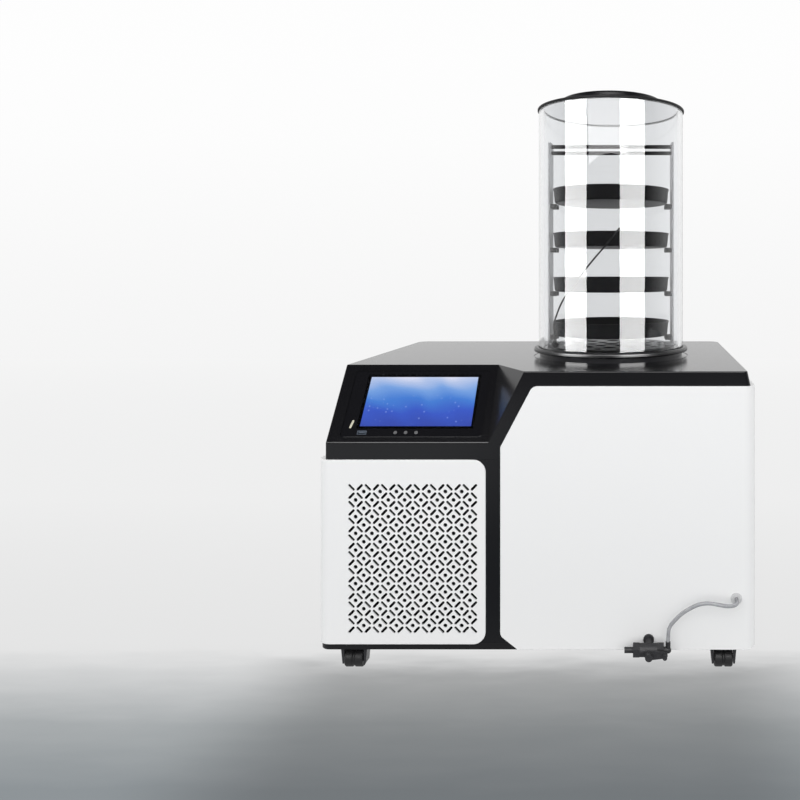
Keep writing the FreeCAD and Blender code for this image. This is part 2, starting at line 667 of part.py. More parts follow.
def pod_block(inset):
    """The pod under the cover before its slope is cut, or the hollow inside it."""
    x0, x1 = -COVER_HALF_W + inset, STRIP_X1 + LAP - inset
    z0 = POD_Z - (1.0 if inset else 0.0)
    top = BAND_Z + (MOULD if inset else 1.0)
    corners = [(x0, z0, 0), (x1, z0, 0), (x1, BAND_Z - INCLINE_RISE, 0), (x1 + INCLINE_RUN, BAND_Z, 0),
               (x1 + INCLINE_RUN, top, 0), (x0, top, 0)]
    if not inset:
        back = POD_BACK - GAP
        side = [(FRONT, z0, 0), (back, z0, POD_ROOM_R), (back + INCLINE_RUN, BAND_Z, 0),
                (back + INCLINE_RUN, top, 0), (FRONT, top, 0)]
        return front_plate(corners, FRONT, REAR).common(side_plate(side, x0, x1 + INCLINE_RUN))
    near = front_plate(corners, FRONT + inset, POD_BACK + INCLINE_RUN + 1)
    far = box(x0, x1 + INCLINE_RUN + 3 * MOULD, FRONT + POD_RIB, POD_BACK + INCLINE_RUN + 1, z0, BAND_Z)
    return near.fuse(far)


def pod_slope(wall):
    """What is cut away above the sloped face and its facet; wall moves both planes inwards."""
    slope = V(0, -POD_RISE, POD_RUN).normalize()
    low = V(POD_X1, FRONT, SLOPE_Z)
    high = V(POD_X1, FRONT + POD_RUN, TOP_Z)
    corner = V(POD_X1 + POD_FACET_W, FRONT, TOP_Z)
    facet = (high - low).cross(corner - low).normalize()
    if facet.x > 0:
        facet = -facet
    return half_space(low - slope * wall, slope).common(half_space(low - facet * wall, facet))


def on_cover_edge(point):
    """True on the deck's outline, the pod's left edge and the facet's front edge."""
    on_top = abs(point.z - TOP_Z) < 0.1
    above_foot = point.z > SLOPE_Z - 0.1
    on_left = abs(point.x + COVER_HALF_W) < 0.1 and point.z > SLOPE_Z - POD_EDGE_R
    beside_facet = POD_X1 - 1 < point.x < POD_X1 + POD_FACET_W + 1
    on_facet = abs(point.y - FRONT) < 0.1 and above_foot and beside_facet
    return on_top or (on_left and point.y < FRONT + POD_RUN + 0.1) or on_facet


def display_plate(edge, n0, n1, radius=0.0):
    """A plate over the picture, larger than it by edge on each side."""
    half_w, half_h = LCD_W / 2 + edge, LCD_H / 2 + edge
    return slope_plate(LCD_U - half_w, LCD_U + half_w, LCD_V - half_h, LCD_V + half_h, n0, n1, radius)


def port_plate(edge, n0, n1, radius=0.0):
    """A plate over the data socket, larger than it by edge on each side."""
    half_w, half_h = PORT_W / 2 + edge, PORT_H / 2 + edge
    return slope_plate(PORT_U - half_w, PORT_U + half_w, KEY_V - half_h, KEY_V + half_h, n0, n1, radius)


def top_cover():
    """Black moulded cover: top deck, band, pod with its sloped face, and the hole over the cold trap."""
    outer = cover_block(0).fuse(pod_block(0)).cut(pod_slope(0)).removeSplitter()
    foot = rounded_edges(outer, POD_EDGE_R, lambda p: abs(p.z - SLOPE_Z) < 0.1 and p.x < POD_X1 + 1)
    outer = rounded_edges(foot, COVER_EDGE_R, on_cover_edge)
    hollow = cover_block(MOULD).fuse(pod_block(MOULD)).cut(pod_slope(MOULD))
    cover = outer.cut(hollow)
    hole = rod(TRAP_OUT + GAP, V(AXIS_X, AXIS_Y, TOP_Z - 9), V(AXIS_X, AXIS_Y, TOP_Z + 9))
    drip = ring(FLANGE_R + DRIP_W / 2, FLANGE_R - DRIP_W / 2, AXIS_X, AXIS_Y, TOP_Z - DRIP_DEEP, TOP_Z + 1)
    recess = slope_plate(*BEZEL_U, *BEZEL_V, -BEZEL_T - BEZEL_SINK, 5, BEZEL_R)
    window = display_plate(GLASS_EDGE + LCD_FRAME, -30, 5, 2)
    cover = cover.cut(hole).cut(drip)
    return cover.cut(on_slope(recess)).cut(on_slope(window)).cut(on_slope(port_plate(GAP, -30, 5)))


# ---------------------------------------------------------------- display
def slope_lights():
    """Three round lights and a slanted light bar, proud of the bezel by a hair."""
    n0, n1 = -BEZEL_T - BEZEL_SINK, -BEZEL_SINK + 0.4
    lights = []
    for i in range(3):
        x = LCD_U + LIGHT_OFFSET + i * LIGHT_PITCH
        dome = rod(LIGHT_R, V(x, KEY_V, n0), V(x, KEY_V, n1))
        lights.append(dome.makeFillet(0.35, [e for e in dome.Edges if e.CenterOfMass.z > n1 - 0.01]))
    half, r = BAR_L / 2, BAR_W / 2
    bar = slope_plate(-r, r, -half, half, n0, n1, r * ROUND_END)
    bar.rotate(V(0, 0, 0), V(0, 0, 1), -BAR_LEAN)
    bar.translate(V(LCD_U + BAR_OFFSET, BEZEL_LOW + BAR_UP, 0))
    return lights + [bar]


def screen_bezel():
    """Gloss black surround with a stepped window that the glass is bonded into."""
    u0, u1, v0, v1 = BEZEL_U[0] + GAP, BEZEL_U[1] - GAP, BEZEL_V[0] + GAP, BEZEL_V[1] - GAP
    n1 = -BEZEL_SINK
    plate = slope_plate(u0, u1, v0, v1, n1 - BEZEL_T, n1, BEZEL_R - GAP)
    plate = plate.makeFillet(0.5, [e for e in plate.Edges if e.CenterOfMass.z > n1 - 0.01])
    seat = display_plate(GLASS_EDGE + GAP / 2, n1 - GLASS_T, 5, 2)
    plate = plate.cut(seat).cut(display_plate(0, -9, 5)).cut(port_plate(GAP, -9, 5))
    for light in slope_lights():
        plate = plate.cut(light)
    return on_slope(plate)


def touch_glass():
    return on_slope(display_plate(GLASS_EDGE, -BEZEL_SINK - GLASS_T, -BEZEL_SINK, 2 - GAP / 2))


def lcd_panel():
    """Display module behind the bezel; its picture stands up into the window."""
    n1 = -BEZEL_T - BEZEL_SINK
    module = display_plate(LCD_FRAME, n1 - LCD_T, n1)
    face = display_plate(-GAP, n1 - 1, -BEZEL_SINK - GLASS_T - 0.05)
    return on_slope(joined([module, face]))


def usb_port():
    """Steel data socket in the bezel."""
    n1 = -BEZEL_SINK + 0.3
    n0 = n1 - PORT_DEPTH
    shell = port_plate(0, n0, n1, PORT_WALL)
    mouth = port_plate(-PORT_WALL, n0 + 2, n1 + 1)
    tongue = slope_plate(PORT_U - 5, PORT_U + 5, KEY_V + 0.2, KEY_V + 1.8, n0 + 1, n1 - 1)
    return on_slope(joined([shell.cut(mouth), tongue]))


def control_board():
    """Circuit board behind the display, on four posts, with its larger components."""
    n_back = -BEZEL_T - BEZEL_SINK - LCD_T
    n1 = n_back - BOARD_ROOM
    n0 = n1 - BOARD_T
    pieces = [display_plate(-3, n0, n1, 3)]
    for u in (LCD_U - LCD_W / 2 + 11, LCD_U + LCD_W / 2 - 11):
        for v in (LCD_V - LCD_H / 2 + 11, LCD_V + LCD_H / 2 - 11):
            pieces.append(rod(POST_R, V(u, v, n1 - 1), V(u, v, n_back)))
    chips = ((-30, 5, 24, 24, 2), (20, 10, 16, 12, 3), (50, -12, 20, 14, 9), (-55, -10, 12, 22, 8))
    for du, dv, w, h, t in chips:
        u, v = LCD_U + du, LCD_V + dv
        pieces.append(slope_plate(u - w / 2, u + w / 2, v - h / 2, v + h / 2, n0 - t, n1 - 1))
    return on_slope(joined(pieces))


# ---------------------------------------------------------------- chamber
def base_flange():
    """Black ring that joins chamber and cold trap: a neck on the cover, a rounded lip and a gasket groove."""
    lip_z = FLANGE_Z - FLANGE_LIP_H
    profile = [(TRAP_R, TOP_Z, 0), (FLANGE_NECK_R, TOP_Z, 0), (FLANGE_NECK_R, lip_z, 2),
               (FLANGE_R, lip_z, 1.5), (FLANGE_R, FLANGE_Z, 3), (TRAP_R, FLANGE_Z, 2)]
    ring_ = turned(profile, AXIS_X, AXIS_Y)
    groove = ring(CHAMBER_R + GROOVE_ROOM, CHAMBER_BORE - GROOVE_ROOM, AXIS_X, AXIS_Y,
                  FLANGE_Z - GASKET_SINK, FLANGE_Z + 1)
    return ring_.cut(groove)


def flange_gasket():
    return ring(CHAMBER_R + GASKET_ROOM, CHAMBER_BORE - GASKET_ROOM, AXIS_X, AXIS_Y,
                FLANGE_Z - GASKET_SINK, CHAMBER_FOOT)


def chamber_cylinder():
    """Clear tube with softened rims."""
    profile = [(CHAMBER_BORE, CHAMBER_FOOT, 0.6), (CHAMBER_R, CHAMBER_FOOT, 0.6), (CHAMBER_R, CHAMBER_Z, 0.6),
               (CHAMBER_BORE, CHAMBER_Z, 0.6)]
    return turned(profile, AXIS_X, AXIS_Y)


def lid_seal():
    """Black rubber rim that hooks over the lid plate's edge and sits on the tube."""
    z, top, lip, r_in = CHAMBER_Z, CHAMBER_Z + LID_T, LID_PLATE_R - 3, CHAMBER_BORE + LID_SEAT_IN
    profile = [(r_in, z, 0), (LID_RIM_R, z, 1), (LID_RIM_R, top, 2), (lip, top, 0.5), (lip, LID_Z, 0),
               (LID_PLATE_R, LID_Z, 0), (LID_PLATE_R, z + LID_SEAT, 0), (r_in, z + LID_SEAT, 0)]
    return turned(profile, AXIS_X, AXIS_Y)


def lid_plate():
    return rod(LID_PLATE_R, V(AXIS_X, AXIS_Y, CHAMBER_Z + LID_SEAT), V(AXIS_X, AXIS_Y, LID_Z))


def lid_cap():
    """Low black cap that is the lid's grip: a straight foot, then a wall that leans in to a rounded edge."""
    top = LID_Z + LID_CAP_H
    profile = [(0, LID_Z, 0), (LID_CAP_R, LID_Z, 0.5), (LID_CAP_R, LID_Z + 3, 2),
               (LID_CAP_R - LID_CAP_SLOPE, top, LID_CAP_EDGE), (0, top, 0)]
    return turned(profile, AXIS_X, AXIS_Y)


# ---------------------------------------------------------------- rack and trays
def rack_base():
    """Disc that the rack stands on, open in the middle and pierced so that vapour can fall into the trap."""
    disc = ring(RACK_BASE_R, 12, AXIS_X, AXIS_Y, FLANGE_Z, RACK_FOOT)
    holes = []
    circles = ((9, TRAP_R * 0.34, 6, 0), (11, TRAP_R * 0.65, 10, 18), (6, TRAP_R * 0.9, 16, 11.25))
    for r_hole, r_circle, count, turn in circles:
        for i in range(count):
            a = math.radians(turn + 360 * i / count)
            x, y = AXIS_X + r_circle * math.cos(a), AXIS_Y + r_circle * math.sin(a)
            holes.append(rod(r_hole, V(x, y, FLANGE_Z - 1), V(x, y, RACK_FOOT + 1)))
    return disc.cut(Part.makeCompound(holes))


def rack_side(way):
    """Flat upright with a short foot turned inwards."""
    x0 = AXIS_X + way * RACK_SIDE_X
    x1 = x0 + way * RACK_SIDE_T
    y0, y1 = AXIS_Y - RACK_SIDE_W / 2, AXIS_Y + RACK_SIDE_W / 2
    upright = side_plate([(y0, RACK_FOOT, 0), (y1, RACK_FOOT, 0), (y1, TOP_Z + RACK_TOP, 6),
                          (y0, TOP_Z + RACK_TOP, 6)], min(x0, x1), max(x0, x1))
    foot_in = x0 - way * RACK_FOOT_L
    foot = box(min(x0, foot_in), max(x0, foot_in), y0, y1, RACK_FOOT, RACK_FOOT + RACK_SIDE_T)
    return joined([upright, foot])


def tray_z(level):
    return TOP_Z + TRAY_Z + level * TRAY_PITCH


def rack_studs():
    """Round pins on the uprights that the trays rest on, one group of identical pieces."""
    studs = []
    for level in range(TRAY_COUNT):
        z = tray_z(level) - STUD_R - TRAY_SEAT
        for way in (-1, 1):
            x0 = AXIS_X + way * RACK_SIDE_X
            tip = x0 - way * STUD_REACH
            for y in (AXIS_Y - STUD_Y, AXIS_Y + STUD_Y):
                stud = rod(STUD_R, V(x0, y, z), V(tip, y, z))
                end = [e for e in stud.Edges if abs(e.CenterOfMass.x - tip) < 0.01]
                studs.append(stud.makeFillet(1, end))
    return studs


def rack_rods():
    """Two cross rods, one over the other, that tie the uprights and are the rack's handle."""
    rods = []
    for drop in ROD_DROPS:
        x0, x1, z = AXIS_X - RACK_SIDE_X, AXIS_X + RACK_SIDE_X, TOP_Z + RACK_TOP - drop
        rods.append(rod(ROD_R, V(x0, AXIS_Y, z), V(x1, AXIS_Y, z)))
    return rods


def tray(level):
    """Round drawn tray with a rolled-out rim."""
    z, r, w = tray_z(level), TRAY_R, TRAY_WALL
    profile = [(0, z, 0), (r - 3, z, 4), (r - 1, z + TRAY_H - 2, 0), (r, z + TRAY_H - 2, 0),
               (r, z + TRAY_H, 0.5), (r - 1 - w, z + TRAY_H, 0.4), (r - 3 - w, z + w, 3), (0, z + w, 0)]
    return turned(profile, AXIS_X, AXIS_Y)


# ---------------------------------------------------------------- lead and probe
def around(angle, past_rim, z):
    """A point beside the trays: past_rim is how far out it lies from their rims, z is above the deck."""
    a, radius = math.radians(angle), TRAY_R + past_rim
    return V(AXIS_X + radius * math.cos(a), AXIS_Y + radius * math.sin(a), TOP_Z + z)


def lead_points():
    """The lead's route: out of its gland, up between the trays and the wall, over a rim and down to the
    floor of the third tray from the bottom."""
    low = FLANGE_H + RACK_BASE_T + GLAND_H
    floor = TRAY_Z + 2 * TRAY_PITCH + TRAY_WALL
    return [around(GLAND_ANGLE, 0.5, low), around(207, 3, low + 15), around(213, 7.5, low + 29),
            around(220, 8.8, low + 45), around(226, 9, low + 63), around(234, 9, low + 80),
            around(243, 9, low + 98), around(251, 9, low + 117), around(259, 9, floor - 20.2),
            around(267, 9, floor - 3.2), around(274, 8.5, floor + 13.8), around(279, 4.5, floor + 25.3),
            around(281, -5.5, floor + 27.8), around(282, -15.5, floor + 18.8),
            around(283, -24.5, floor + 8.3), around(283.5, -36.5, floor + 2.3),
            around(284, -49.5, floor + PROBE_R + TRAY_SEAT)]


def probe_gland():
    """Screwed gland in the rack's disc that the lead comes up through."""
    p = around(GLAND_ANGLE, 0.5, 0)
    z, bore = RACK_FOOT, LEAD_R + RUNNING
    profile = [(bore, z, 0), (GLAND_R, z, 0), (GLAND_R, z + GLAND_H / 2, 0.6), (3.6, z + GLAND_H * 0.6, 0),
               (3.0, z + GLAND_H, 0.5), (bore, z + GLAND_H, 0)]
    return turned(profile, p.x, p.y)


def sample_probe():
    """Steel probe that lies on the tray's floor."""
    *_, before, start = lead_points()
    along = V(start.x - before.x, start.y - before.y, 0).normalize()
    tip = start + along * PROBE_L
    body = rod(PROBE_R, start, tip)
    return body.makeFillet(PROBE_R / 2, [e for e in body.Edges if (e.CenterOfMass - tip).Length < 0.1])


# ---------------------------------------------------------------- cold trap and vacuum
def trap_well():
    """Deep-drawn steel cup with a rolled rim, a side hole to the vacuum port and a drain stub."""
    top, low, rim = TOP_Z, TRAP_LOW, TRAP_R + TRAP_RIM
    profile = [(0, low, 0), (TRAP_OUT, low, TRAP_ROUND), (TRAP_OUT, top - MOULD - RIM_T, 0),
               (rim, top - MOULD - RIM_T, 0), (rim, top - MOULD, 0), (TRAP_OUT, top - MOULD, 0),
               (TRAP_OUT, top, 0), (TRAP_R, top, 0), (TRAP_R, low + TRAP_WALL, TRAP_ROUND - TRAP_WALL),
               (0, low + TRAP_WALL, 0)]
    well = turned(profile, AXIS_X, AXIS_Y)
    stub = rod(STUB_R, V(AXIS_X, AXIS_Y, FOAM_Z0 - STUB_L), V(AXIS_X, AXIS_Y, low + TRAP_WALL / 3))
    bore = rod(STUB_BORE_R, V(AXIS_X, AXIS_Y, FOAM_Z0 - STUB_L - 1), V(AXIS_X, AXIS_Y, low + 9))
    port = rod(PORT_OUT + RUNNING, V(AXIS_X, AXIS_Y, PORT_Z), V(AXIS_X, AXIS_Y + TRAP_OUT + 9, PORT_Z))
    return joined([well, stub]).cut(bore).cut(port)


def trap_coil():
    """Evaporator turns round the cold trap, soldered to a riser, with a tail to the suction line."""
    r, z1 = COIL_RING_R, TOP_Z - COIL_TOP
    turns = [Part.makeTorus(r, COIL_R, V(AXIS_X, AXIS_Y, z1 - i * COIL_PITCH), V(0, 0, 1))
             for i in range(COIL_TURNS)]
    riser = rod(COIL_STUB_R, V(AXIS_X - r, AXIS_Y, COIL_LOW), V(AXIS_X - r, AXIS_Y, z1))
    tail = rod(COIL_STUB_R, V(AXIS_X - r, AXIS_Y, COIL_LOW), V(AXIS_X - FOAM_R - 6, AXIS_Y, COIL_LOW))
    return joined(turns + [riser, tail])


def trap_insulation():
    """Foam jacket foamed round the trap and its coil."""
    top = TOP_Z - MOULD - RIM_T - GAP
    r_in = COIL_RING_R + COIL_R + GAP
    jacket = rod(FOAM_R, V(AXIS_X, AXIS_Y, FOAM_Z0), V(AXIS_X, AXIS_Y, top))
    room = rod(r_in, V(AXIS_X, AXIS_Y, TRAP_LOW - GAP), V(AXIS_X, AXIS_Y, top + 1))
    port = rod(PORT_OUT + GAP, V(AXIS_X, AXIS_Y, PORT_Z), V(AXIS_X, AXIS_Y + FOAM_R + 9, PORT_Z))
    drain = rod(STUB_R + GAP, V(AXIS_X, AXIS_Y, FOAM_Z0 - 9), V(AXIS_X, AXIS_Y, TRAP_LOW))
    tail = rod(COIL_STUB_R + GAP, V(AXIS_X - FOAM_R - 9, AXIS_Y, COIL_LOW),
               V(AXIS_X - TRAP_OUT, AXIS_Y, COIL_LOW))
    return jacket.cut(room).cut(port).cut(drain).cut(tail)


def vacuum_port():
    """Steel tube from the cold trap out through the back, ending in a clamp flange."""
    start, end = AXIS_Y + TRAP_R - 35, REAR + REACH
    profile = [(PORT_TUBE_R, start, 0), (PORT_OUT, start, 0), (PORT_OUT, end - 8, 0),
               (PORT_FLANGE_R, end - 3.5, 0), (PORT_FLANGE_R, end, 0.5), (PORT_TUBE_R, end, 0)]
    tube = turned_y(profile, AXIS_X, PORT_Z)
    well = rod(TRAP_R + TRAP_WALL / 2, V(AXIS_X, AXIS_Y, PORT_Z - 30), V(AXIS_X, AXIS_Y, PORT_Z + 30))
    return tube.cut(well)


def release_valve():
    """Brass valve body on the back panel with a tail to the vacuum tube; lets air in after a run."""
    x, z, r, stem = RELEASE_X, PORT_Z, RELEASE_R, RELEASE_STEM_R
    profile = [(0, REAR - 26, 0), (r, REAR - 26, 1), (r, REAR, 0), (r + 4, REAR, 0), (r + 4, REAR + 4, 1),
               (r - 1, REAR + 4, 0), (r - 1, REAR + 9, 1), (stem, REAR + 9, 0), (stem, REAR + 24, 0.5),
               (0, REAR + 24, 0)]
    tail = rod(stem, V(x, REAR - 18, z), V(AXIS_X + PORT_OUT + 0.1, REAR - 18, z))
    return joined([turned_y(profile, x, z), tail])


def release_knob():
    """Fluted knob that turns on the valve's stem."""
    x, z, y0 = RELEASE_X, PORT_Z, REAR + 9 + GAP
    bore = RELEASE_STEM_R + RUNNING
    y1 = y0 + KNOB_L
    knob = turned_y([(bore, y0, 0), (KNOB_R, y0, 1.2), (KNOB_R, y1, 2), (bore, y1, 0)], x, z)
    flutes = []
    for i in range(10):
        a = math.radians(36 * i)
        p = V(x + (KNOB_R + 1.2) * math.cos(a), y0 - 1, z + (KNOB_R + 1.2) * math.sin(a))
        flutes.append(rod(KNOB_R / 5, p, p + V(0, KNOB_L + 2, 0)))
    return knob.cut(Part.makeCompound(flutes))


# ---------------------------------------------------------------- refrigeration
def condenser():
    """Thin fins on hairpin tubes between two end plates: fins and tubes are one brazed block."""
    y0, y1 = FRONT + CONDENSER_Y, FRONT + CONDENSER_Y + CONDENSER_D
    x0, z0, z1 = FAN_X - CONDENSER_W / 2, CONDENSER_Z, CONDENSER_Z + CONDENSER_H
    y = (y0 + y1) / 2
    left, right = x0 - TUBE_OUT_LEFT, x0 + CONDENSER_W + TUBE_OUT_RIGHT
    pitch_z = CONDENSER_H / CONDENSER_TUBES
    pieces = []
    for i in range(CONDENSER_FINS):
        x = x0 + (CONDENSER_W - FIN_T) * i / (CONDENSER_FINS - 1)
        thick = END_PLATE_T if i in (0, CONDENSER_FINS - 1) else FIN_T
        pieces.append(box(x, x + thick, y0, y1, z0, z1))
    for i in range(CONDENSER_TUBES):
        z = z0 + (i + 0.5) * pitch_z
        pieces.append(rod(CONDENSER_TUBE_R, V(left, y, z), V(right, y, z)))
        if i < CONDENSER_TUBES - 1:
            x = right if i % 2 == 0 else left
            pieces.append(rod(CONDENSER_TUBE_R, V(x, y, z), V(x, y, z + pitch_z)))
            pieces += [Part.makeSphere(CONDENSER_TUBE_R, V(x, y, z + d)) for d in (0, pitch_z)]
    for x in (x0 + 1, x0 + CONDENSER_W - 16):
        pieces.append(box(x, x + 14, y0 + 4, y1 - 4, FLOOR_Z, z0 + 1))
    return joined(pieces)


def fan_shroud():
    """Plate with a short duct, and three arms that carry the motor."""
    y0, y1, ring_r, motor = SHROUD_Y, SHROUD_Y + DUCT_L, FAN_RING_R, MOTOR_R + GAP
    half_w, top = CONDENSER_W / 2 - SHROUD_IN, CONDENSER_Z + CONDENSER_H - SHROUD_IN
    plate = box(FAN_X - half_w, FAN_X + half_w, y0, y0 + SHROUD_T, FLOOR_Z, top)
    plate = plate.cut(rod(ring_r, V(FAN_X, y0 - 1, FAN_Z), V(FAN_X, y0 + 9, FAN_Z)))
    duct = turned_y([(ring_r, y0, 0), (ring_r + DUCT_WALL, y0, 0), (ring_r + DUCT_WALL, y1, 0),
                     (ring_r, y1, 0)], FAN_X, FAN_Z)
    collar = turned_y([(motor, y1 - 4, 0), (motor + 5, y1 - 4, 0), (motor + 5, y1, 0), (motor, y1, 0)],
                      FAN_X, FAN_Z)
    arms = []
    for i in range(3):
        arm = box(MOTOR_R + 3, ring_r + 1, y1 - 3, y1, -4, 4)
        arm.rotate(V(0, 0, 0), V(0, 1, 0), 30 + 120 * i)
        arm.translate(V(FAN_X, 0, FAN_Z))
        arms.append(arm)
    return joined([plate, duct, collar] + arms)


def fan_motor():
    y0 = SHROUD_Y + MOTOR_Y
    profile = [(0, y0 - 24, 0), (FAN_SHAFT_R, y0 - 24, 0.5), (FAN_SHAFT_R, y0, 0), (MOTOR_R, y0, 2),
               (MOTOR_R, y0 + MOTOR_L, 3), (0, y0 + MOTOR_L, 0)]
    return turned_y(profile, FAN_X, FAN_Z)


def fan_rotor():
    """Pitched blades on a hub."""
    y0, bore = SHROUD_Y + HUB_Y, FAN_SHAFT_R + RUNNING
    y1 = y0 + HUB_L
    pieces = [turned_y([(bore, y0, 0), (HUB_R, y0, 2), (HUB_R, y1, 1), (bore, y1, 0)], FAN_X, FAN_Z)]
    for i in range(BLADE_COUNT):
        blade = box(HUB_R - 3, FAN_BLADE_R, -1, 1, -BLADE_HALF_W, BLADE_HALF_W)
        blade = rounded_edges(blade, 12, lambda p: p.x > FAN_BLADE_R - 0.1 and abs(p.z) > BLADE_HALF_W - 0.1)
        blade.rotate(V(0, 0, 0), V(1, 0, 0), BLADE_PITCH)
        blade.translate(V(0, y0 + HUB_L / 2, 0))
        blade.rotate(V(0, 0, 0), V(0, 1, 0), 360 / BLADE_COUNT * i)
        blade.translate(V(FAN_X, 0, FAN_Z))
        pieces.append(blade)
    return joined(pieces)


def compressor():
    """Sealed pot with a welded waist, a foot plate, a terminal box and two stubs."""
    x, y, r, z, top = COMPRESSOR_X, COMPRESSOR_Y, COMPRESSOR_R, FLOOR_Z + FOOT_H, COMPRESSOR_TOP
    waist, half_w, half_d = z + COMPRESSOR_H * 0.55, COMPRESSOR_R + 10, COMPRESSOR_R - 30
    profile = [(0, z, 0), (r - 4, z, 22), (r - 4, waist - 3, 0), (r, waist - 3, 0), (r, waist + 3, 0),
               (r - 4, waist + 3, 0), (r - 4, top, 34), (0, top, 0)]
    pot = turned(profile, x, y)
    foot = box(x - half_w, x + half_w, y - half_d, y + half_d, z, z + 3)
    corner = lambda p: abs(p.x - x) > half_w - 0.1 and abs(p.y - y) > half_d - 0.1
    foot = rounded_edges(foot, 10, corner)
    terminal = box(x + r - 14, x + r + 12, y - 20, y + 20, z + 40, z + 84)
    suction = rod(SUCTION_R + 1, V(x, y - 40, top - 30), V(x, y - 40, top + FOOT_H))
    hot_gas = rod(LINE_R + 0.5, V(x + 36, y, top - 30), V(x + 36, y, top + FOOT_H))
    return joined([pot, foot, terminal, suction, hot_gas])


def compressor_feet():
    """Four rubber grommets under the foot plate, one group of identical pieces."""
    z0, z1 = FLOOR_Z, FLOOR_Z + FOOT_H
    profile = [(3, z0, 0), (9, z0, 1.5), (7, z0 + FOOT_H / 2, 1), (9, z1, 1.5), (3, z1, 0)]
    half_w, half_d = COMPRESSOR_R - 2, COMPRESSOR_R - 40
    return [turned(profile, COMPRESSOR_X + dx, COMPRESSOR_Y + dy)
            for dx in (-half_w, half_w) for dy in (-half_d, half_d)]


def refrigerant_lines():
    """Copper tubes: hot gas to the condenser, and suction back from the cold trap's coil."""
    x, y, top = COMPRESSOR_X, COMPRESSOR_Y, COMPRESSOR_TOP + FOOT_H
    x_c = FAN_X + CONDENSER_W / 2 + TUBE_OUT_RIGHT + CONDENSER_TUBE_R + 0.2
    y_c = FRONT + CONDENSER_Y + CONDENSER_D / 2
    z_c = CONDENSER_Z + CONDENSER_H - CONDENSER_H / CONDENSER_TUBES / 2
    hot = [V(x + 36, y, top), V(x + 36, y, top + 30), V(x + 78, y - 50, top + 24),
           V(AXIS_X - FOAM_R - LINE_CLEAR, AXIS_Y - 22, top + 16), V(x_c + 33, y_c + 66, z_c - 6),
           V(x_c + 37, y_c + 1, z_c), V(x_c, y_c, z_c)]
    cold = [V(AXIS_X - FOAM_R - 6.2, AXIS_Y, COIL_LOW), V(AXIS_X - FOAM_R - 44, AXIS_Y + 2, COIL_LOW + 2),
            V(x + 60, y - 76, top + 58), V(x, y - 40, top + 52), V(x, y - 40, top)]
    return [bent_tube(hot, LINE_R, "hot gas line"), bent_tube(cold, SUCTION_R, "suction line")]


# ---------------------------------------------------------------- drain
def drain_valve():
    """Ball valve in front of the base: body, stem through the fascia, lock nuts, barb up and spout left."""
    x, y, z, stem_z = DRAIN_X, VALVE_Y, DRAIN_Z, DRAIN_STEM_Z
    pieces = [rod(DRAIN_BODY_R, V(x - 18, y, z), V(x + 18, y, z))]
    corners = [math.radians(60 * i + 30) for i in range(7)]
    for x0 in (x - 22, x + 12):
        points = [V(x0, y + 10.6 * math.cos(a), z + 10.6 * math.sin(a)) for a in corners]
        pieces.append(Part.Face(Part.makePolygon(points)).extrude(V(9, 0, 0)))
    pieces.append(rod(DRAIN_STEM_R, V(x, y, stem_z), V(x, FRONT + MOULD + 8, stem_z)))
    for y0, y1 in ((FRONT - SHEET - 4, FRONT - SHEET - GAP), (FRONT + MOULD + GAP, FRONT + MOULD + 5)):
        pieces.append(rod(DRAIN_NUT_R, V(x, y0, stem_z), V(x, y1, stem_z)))
    pieces.append(rod(DRAIN_STEM_R, V(x + 20, y, z), V(x + BARB_OUT, y, z)))
    pieces.append(Part.makeSphere(DRAIN_STEM_R, V(x + BARB_OUT, y, z)))
    pieces.append(rod(BARB_R, V(x + BARB_OUT, y, z), V(x + BARB_OUT, y, z + BARB_H - 0.1)))
    pieces.append(rod(SPOUT_R, V(x - 20, y, z), V(x - SPOUT_OUT, y, z)))
    pieces.append(rod(LEVER_STEM_R, V(x, y - DRAIN_BODY_R + 2, z), V(x, y - DRAIN_BODY_R - 8, z)))
    spout = rod(SPOUT_BORE_R, V(x - SPOUT_OUT - 1, y, z), V(x - 19, y, z))
    return joined(pieces).cut(spout)


def drain_lever():
    """Short lever on the valve's stem."""
    x, y, z = DRAIN_X, VALVE_Y - DRAIN_BODY_R, DRAIN_Z
    y0, y1, end = y - 6.5, y - 3.5, FRONT - REACH
    outline = [(x - 6, z - 6, 5), (x + 6, z - 6, 5), (x + 26, z - 3.6, 3.4), (x + 26, z + 3.6, 3.4),
               (x + 6, z + 6, 5), (x - 6, z + 6, 5)]
    plate = front_plate(outline, y0, y1)
    hub = rod(LEVER_STEM_R + 2, V(x, y1, z), V(x, end, z))
    grip = rod(LEVER_STEM_R, V(x + 22, y1 - 1, z), V(x + 22, end, z))
    bore = rod(LEVER_STEM_R + RUNNING, V(x, y + 9, z), V(x, y - 8 - GAP, z))
    return joined([plate, hub, grip]).cut(bore)


def hose_grommet():
    """Rubber grommet that snaps into the right panel."""
    y0, y1, r, bore = FRONT - SHEET, FRONT + MOULD, GROMMET_HOLE_R, HOSE_R + RUNNING
    profile = [(bore, y0 - 2.5, 0.8), (r + 2.5, y0 - 2.5, 1), (r + 2.5, y0 - 0.1, 0), (r - 0.1, y0 - 0.1, 0),
               (r - 0.1, y1 + 0.1, 0), (r + 2, y1 + 0.1, 0), (r + 1, y1 + 3, 0.8), (bore, y1 + 3, 0)]
    return turned_y(profile, GROMMET_X, GROMMET_Z)


